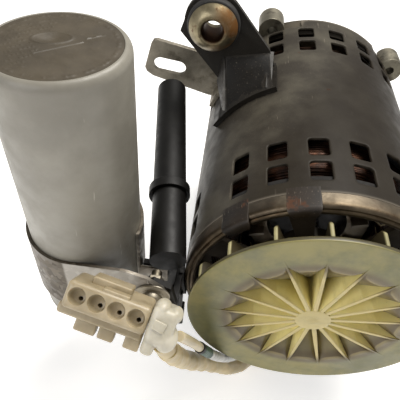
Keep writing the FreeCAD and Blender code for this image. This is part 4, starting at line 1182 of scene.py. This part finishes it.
def lid_height(x, y):
    """Relief of the end disc: an oval dimple, two fine raised lines, and plain dashes in a ring and rows."""
    distance = math.hypot(x, y)
    height = 0.0
    u, v = x - DIMPLE_PLACE[0], y - DIMPLE_PLACE[1]
    oval = math.hypot((u * 0.97 + v * 0.24) / DIMPLE_HALF_LENGTH,
                      (v * 0.97 - u * 0.24) / DIMPLE_HALF_WIDTH)
    if oval < 1.0:
        height -= 1.0 * (1 - oval * oval) ** 1.5
    height += LINE_HEIGHT * math.exp(-((oval - 1.12) / 0.1) ** 2)
    slant = x * 0.79 + y * 0.61
    across = y * 0.79 - x * 0.61
    if -9.0 < slant < 8.5:
        height += LINE_HEIGHT * math.exp(-((across + 2.9) / LINE_WIDTH) ** 2)
    if 10.0 < slant < 17.0:
        height += LINE_HEIGHT * math.exp(-((across + 1.2) / LINE_WIDTH) ** 2)
    if abs(distance - DASH_RING_R) < 0.9:
        height += dashes(math.degrees(math.atan2(y, x)) + 180, distance - DASH_RING_R, 3.6, 0.9, 0.22)
    if x < -4.5 and distance < 18.5 and oval > 1.4:
        row = math.floor(across / 2.6)
        height += dashes(slant + row * 3.1, across / 2.6 - row - 0.5, 1.5, 0.3, 0.16)
    return height


def add_lid(top):
    rings = LID_RINGS
    around = LID_STEPS
    x_middle, y_middle = CAN_CENTRE
    verts = []
    for ring in range(1, rings + 1):
        r = (LID_R - 0.05) * ring / rings
        for step in range(around):
            angle = 2 * math.pi * step / around
            x, y = r * math.cos(angle), r * math.sin(angle)
            verts.append((x_middle + x, y_middle + y, top + lid_height(x, y)))
    verts += [(x, y, top - 1.4) for x, y, _ in verts[-around:]]
    faces = rungs(around, rings + 1) + ends(around, rings + 1)[1:]
    verts.append((x_middle, y_middle, top + lid_height(0, 0)))
    for step in range(around):
        faces.append([len(verts) - 1, step, (step + 1) % around])
    lid = new_object("capacitor_lid_form", verts, faces)
    close_up(lid)
    finished(lid, 60, "capacitor_lid", ("capacitor_end_disc",))


# ---- clamp, brackets, strut, isolator ----
SCREW_PLACE = (-75.7, 12.0)
STRAP_FRONT = -4.45


def add_clamp():
    refined("capacitor_strap", "galvanised_steel", 0.35, 2)
    refined("capacitor_bracket", "bracket_paint", 0.6, 3)
    refined("bracket_bumper", "black_rubber", 0.6, 3)
    x, z = SCREW_PLACE
    washer = lathe("strap_washer_form", [
        (2.6, STRAP_FRONT), (8.0, STRAP_FRONT), (8.0, STRAP_FRONT - 0.5), (7.6, STRAP_FRONT - 0.9),
        (5.4, STRAP_FRONT - 1.1), (4.9, STRAP_FRONT - 1.6), (2.6, STRAP_FRONT - 1.6)], 72, (x, z))
    finished(washer, 30, "zinc_fastener", ("strap_washer",))
    head = lathe("strap_screw_form", [
        (0.0, STRAP_FRONT - 3.0), (1.6, STRAP_FRONT - 3.1), (1.9, STRAP_FRONT - 4.2),
        (3.2, STRAP_FRONT - 4.3), (4.2, STRAP_FRONT - 3.7), (4.6, STRAP_FRONT - 2.8),
        (4.6, STRAP_FRONT - 1.65), (2.5, STRAP_FRONT - 1.65), (2.5, 7.6), (2.1, 8.0), (0.0, 8.0)], 64, (x, z))
    finished(head, 35, "zinc_fastener", ("strap_screw",))
    refined("strap_nut", "zinc_fastener", 0.25, 2)


def add_hangers():
    shade(refined("mounting_bracket", "bracket_paint", 0.8, 3), 14)
    refined("tension_tab", "tab_steel", 0.5, 3)
    refined("support_strut", "black_plastic", 0.5, 3)
    refined("strut_collar", "black_plastic", 0.4, 2)


GROMMET_R = 14.2
SLEEVE_R = 7.6
BORE_R = 5.4
SLEEVE_FRONT = 112.5
PLATE_FRONT, PLATE_BACK = 123.0, 126.0


def add_isolator():
    """A rubber grommet in the plate and a dished steel sleeve through it."""
    rubber = [(SLEEVE_R + 0.05, PLATE_FRONT - 4.5), (GROMMET_R - 1.4, PLATE_FRONT - 4.5)]
    rubber += arc((GROMMET_R - 1.4, PLATE_FRONT - 3.1), 1.4, 270, 360, 4)[1:]
    rubber += [(GROMMET_R, PLATE_FRONT - 0.5), (GROMMET_R - 0.5, PLATE_FRONT - 0.02),
               (11.5, PLATE_FRONT - 0.02), (11.5, PLATE_BACK + 0.02), (GROMMET_R - 0.5, PLATE_BACK + 0.02),
               (GROMMET_R, PLATE_BACK + 0.5)]
    rubber += arc((GROMMET_R - 1.4, PLATE_BACK + 3.1), 1.4, 0, 90, 4)
    rubber += [(SLEEVE_R + 0.05, PLATE_BACK + 4.5)]
    grommet = lathe("isolator_grommet_form", rubber, 96, ISOLATOR)
    finished(grommet, 40, "black_rubber", ("isolator_grommet",))
    front = SLEEVE_FRONT
    seat = PLATE_FRONT - 4.5
    sleeve = [(BORE_R, front + 1.6), (BORE_R + 0.7, front + 0.3), (BORE_R + 1.4, front),
              (BORE_R + 2.2, front + 0.05), (9.4, front + 1.0), (11.6, front + 2.9),
              (12.6, seat - 1.7), (13.0, seat - 1.3), (13.0, seat - 0.5),
              (12.6, seat - 0.1), (SLEEVE_R, seat - 0.1), (SLEEVE_R, 136.1), (SLEEVE_R - 0.3, 136.5),
              (SLEEVE_R - 0.6, 136.3), (SLEEVE_R - 0.8, 131.0), (BORE_R, 129.5)]
    piece = lathe("isolator_sleeve_form", sleeve, 96, ISOLATOR)
    finished(piece, 32, "yellow_zinc", ("isolator_sleeve",))


# ---- connector ----
CONNECTOR_PLACE = (-89.4, -26.9, 35.3)
CONNECTOR_ROW = Vector((0.9735, -0.1476, -0.1756)).normalized()
CONNECTOR_FACING = Vector((0.026, -0.689, 0.724)).normalized()
SOCKET_PLACES = (-12.0, -4.0, 4.0, 12.0)
SOCKET_R = 3.3
HALF_HEIGHT = 5.6
HOUSING_DEPTH = 20.0
LEDGE_HEIGHT = 3.4
LEDGE_X = (-18.5, 16.9)
FOOT_HEIGHT = 4.6
HOUSING_FEET = ((-10.0, -1.2), (-0.2, 6.4), (10.5, 16.9))


def connector_frame():
    """The connector's own axes: X along the row, Z out of the mating face, in millimetres."""
    up = CONNECTOR_FACING.cross(CONNECTOR_ROW)
    turn = Matrix((CONNECTOR_ROW, up, CONNECTOR_FACING)).transposed().to_4x4()
    return Matrix.Translation(at(*CONNECTOR_PLACE)) @ turn @ Matrix.Scale(MM, 4)


def own_piece(name, verts, faces):
    """A mesh in a piece's own millimetres, before it is put in place."""
    mesh = bpy.data.meshes.new(name)
    mesh.from_pydata(verts, [], faces)
    form = bmesh.new()
    form.from_mesh(mesh)
    bmesh.ops.recalc_face_normals(form, faces=form.faces)
    form.to_mesh(mesh)
    form.free()
    return show(name, mesh)


def own_block(low, high, edge, segments=4):
    """A rounded block in a piece's own millimetres."""
    verts = [(x, y, z) for x in (low[0], high[0]) for y in (low[1], high[1]) for z in (low[2], high[2])]
    faces = [[0, 1, 3, 2], [4, 6, 7, 5], [0, 4, 5, 1], [2, 3, 7, 6], [0, 2, 6, 4], [1, 5, 7, 3]]
    piece = own_piece("block", verts, faces)
    soften(piece, edge / MM, segments)
    return piece


def own_ball(centre, radii):
    """An ellipsoid in a piece's own millimetres."""
    form = bmesh.new()
    bmesh.ops.create_icosphere(form, subdivisions=4, radius=1.0)
    for vert in form.verts:
        vert.co = Vector(centre) + Vector((vert.co.x * radii[0], vert.co.y * radii[1], vert.co.z * radii[2]))
    mesh = bpy.data.meshes.new("ball")
    form.to_mesh(mesh)
    form.free()
    return show("ball", mesh)


def own_loft(rings, sides=40):
    """A closed run of circles, each (x, y, z, radius), in a piece's own millimetres."""
    verts = []
    for x, y, z, radius in rings:
        for side in range(sides):
            angle = 2 * math.pi * side / sides
            verts.append((x + radius * math.cos(angle), y + radius * math.sin(angle), z))
    return own_piece("loft", verts, rungs(sides, len(rings)) + ends(sides, len(rings)))


def combine(piece, other, operation):
    step = piece.modifiers.new("step", "BOOLEAN")
    step.operation = operation
    step.object = other
    step.solver = "EXACT"
    bake(piece)
    bpy.data.objects.remove(other)


def melt(piece, voxel, rounds):
    """Runs pieces together into one soft moulded form."""
    remesh = piece.modifiers.new("remesh", "REMESH")
    remesh.mode = "VOXEL"
    remesh.voxel_size = voxel
    smooth = piece.modifiers.new("smooth", "SMOOTH")
    smooth.iterations = rounds
    smooth.factor = 0.5
    bake(piece)


def put(piece, matrix, name):
    piece.name = name
    piece.data.transform(matrix)
    return piece


def add_connector():
    frame_now = connector_frame()
    half = HALF_HEIGHT
    body = own_block((-17, -half, -HOUSING_DEPTH), (17, half, 0), 1.9, 5)
    ledge = -half - LEDGE_HEIGHT
    blocks = [((LEDGE_X[0], ledge, -19.0), (LEDGE_X[1], -half + 1.2, -3.0), 1.3, 4)]
    for left, right in HOUSING_FEET:
        blocks.append(((left, ledge - FOOT_HEIGHT, -10.0), (right, ledge + 1.0, -4.0), 0.8, 3))
    blocks.append(((-9.5, half - 1.2, -16), (7.0, half + 3.0, -6.1), 0.8, 3))
    blocks.append(((-3.6, half - 1.3, -5.7), (7.4, half + 1.0, -0.9), 0.5, 3))
    for block in blocks:
        combine(body, own_block(*block), "UNION")
    for place in SOCKET_PLACES:
        combine(body, own_loft([
            (place, 0.2, 2.0, SOCKET_R + 0.3), (place, 0.2, -0.2, SOCKET_R + 0.3),
            (place + 0.4, -0.2, -2.6, SOCKET_R - 0.3), (place + 0.6, -0.4, -3.4, SOCKET_R - 1.0),
            (place + 1.2, -0.9, -3.6, 0.95), (place + 1.2, -0.9, -11.0, 0.95)]), "DIFFERENCE")
    soften(body, 0.2 / MM, 2, 40)
    put(body, frame_now, "connector_housing_form")
    settle(body, "connector_nylon", nodes=("connector_housing",))
    refined("connector_contacts", "tinned_contact", 0.15, 1)
    lock = own_block((17.15, -7.6, -13.9), (27.6, 7.6, 0.9), 2.4, 5)
    others = (own_ball((20.6, 6.9, -4.6), (3.3, 3.4, 5.4)), own_ball((26.2, 5.6, -4.8), (2.9, 3.4, 5.0)),
              own_ball((25.8, -4.6, -5.8), (4.6, 5.6, 6.8)),
              own_block((17.4, -12.3, -9.0), (22.6, -5.0, 0.2), 1.8, 4))
    for other in others:
        combine(lock, other, "UNION")
    melt(lock, 0.34, 5)
    put(lock, frame_now, "connector_lock_form")
    finished(lock, 60, "lock_nylon", ("connector_lock",))
    tag = own_block((-2.6, -2.0, -0.6), (2.6, 2.0, 0.75), 0.35, 3)
    tag.data.transform(Matrix.Translation((21.4, 0.6, 0.9)) @ Matrix.Rotation(math.radians(-6), 4, "Z"))
    put(tag, frame_now, "connector_lock_tag")
    settle(tag, "lock_nylon")


# ---- boot and small parts ----
BOOT_PLACE = (0.0, 44.0)
BOOT_R = 9.0
BOOT_NECK_R = 7.4
BOOT_FLANGE_R = 11.4
BOOT_BEND_R = 6.0
BOOT_TURN_Z = -79.0
COLLAR_SHARE = 0.13
FLANGE_SHARE = 0.22
SHELL_BOTTOM = -63.5


def add_boot():
    """A right-angle rubber boot whose mouth tapers down onto the leads."""
    x, y = BOOT_PLACE
    points = [(x, y, SHELL_BOTTOM + 5.5), (x, y, SHELL_BOTTOM - 0.5), (x, y, SHELL_BOTTOM - 3.0),
              (x, y, SHELL_BOTTOM - 6.0)]
    bend = arc((y - BOOT_BEND_R, BOOT_TURN_Z + BOOT_BEND_R), BOOT_BEND_R, 0, -90, 9)
    points += [(x, bend_y, bend_z) for bend_y, bend_z in bend]
    points += [(x - 0.1, y - 9.0, BOOT_TURN_Z), (x - 0.4, y - 14.8, BOOT_TURN_Z)]
    stretch = stretch_of([Vector(point) for point in points], 0.0, 1.0, 0.5)

    def radius_at(share, angle):
        if share < COLLAR_SHARE:
            return BOOT_NECK_R
        if share < FLANGE_SHARE:
            return BOOT_FLANGE_R
        ribbed = 0.35 * math.sin(share * 62) if share > 0.55 else 0.0
        return min(BOOT_R - 0.4 - 1.6 * max(share - 0.5, 0) + ribbed, 8.6)

    boot = wrinkled_tube("harness_boot_form", stretch, radius_at, 48)
    finished(boot, 45, "black_rubber", ("harness_boot",))


# The rest keep their CAD form and get their finishes, in this order.
CARRIED = (
    ("bearing_bronze", "stator", ("front_bearing", "rear_bearing")),
    ("oil_felt", "stator", ("front_oil_felt", "rear_oil_felt")),
    ("galvanised_steel", "stator", ("front_bearing_cap", "rear_bearing_cap")),
    ("lamination_steel", "stator", ("stator_core",)),
    ("black_plastic", "stator", ("thermal_protector",)),
    ("lamination_steel", "rotor", ("rotor_core",)),
    ("cast_aluminium", "rotor", ("rotor_front_ring", "rotor_rear_ring")),
    ("shaft_steel", "rotor", ("front_thrust_washer", "rear_thrust_washer")),
    ("zinc_fastener", "rotor", ("fan_clip",)),
    ("capacitor_film", "stator", ("capacitor_element",)),
)


def finish_carried():
    refined("shaft", "shaft_steel", 0.25, 2, "rotor")
    for material, body, nodes in CARRIED:
        for node in nodes:
            refined(node, material, 0.15, 1, body)


def add_floor():
    size = FLOOR_SIZE
    level = CAD_BOX[0][2] - FLOOR_DROP * MM
    corners = [(-size, -size, level), (size, -size, level), (size, size, level), (-size, size, level)]
    mesh = bpy.data.meshes.new("floor")
    mesh.from_pydata(corners, [], [[0, 1, 2, 3]])
    floor = show("floor", mesh)
    finish = Finish("floor_paper", Roughness=0.9, Emission_Color=(1.0, 1.0, 1.0, 1.0), Emission_Strength=0.45)
    finish.paint(finish.blend(finish.noise(3, 2), (246, 245, 243), (250, 249, 247)))
    mesh.materials.append(finish.material)


add_camera()
add_leads()
add_lights()
add_fan()
add_shell()
add_end_frames()
add_windings()
add_capacitor()
add_clamp()
add_hangers()
add_isolator()
add_connector()
add_boot()
finish_carried()
add_floor()
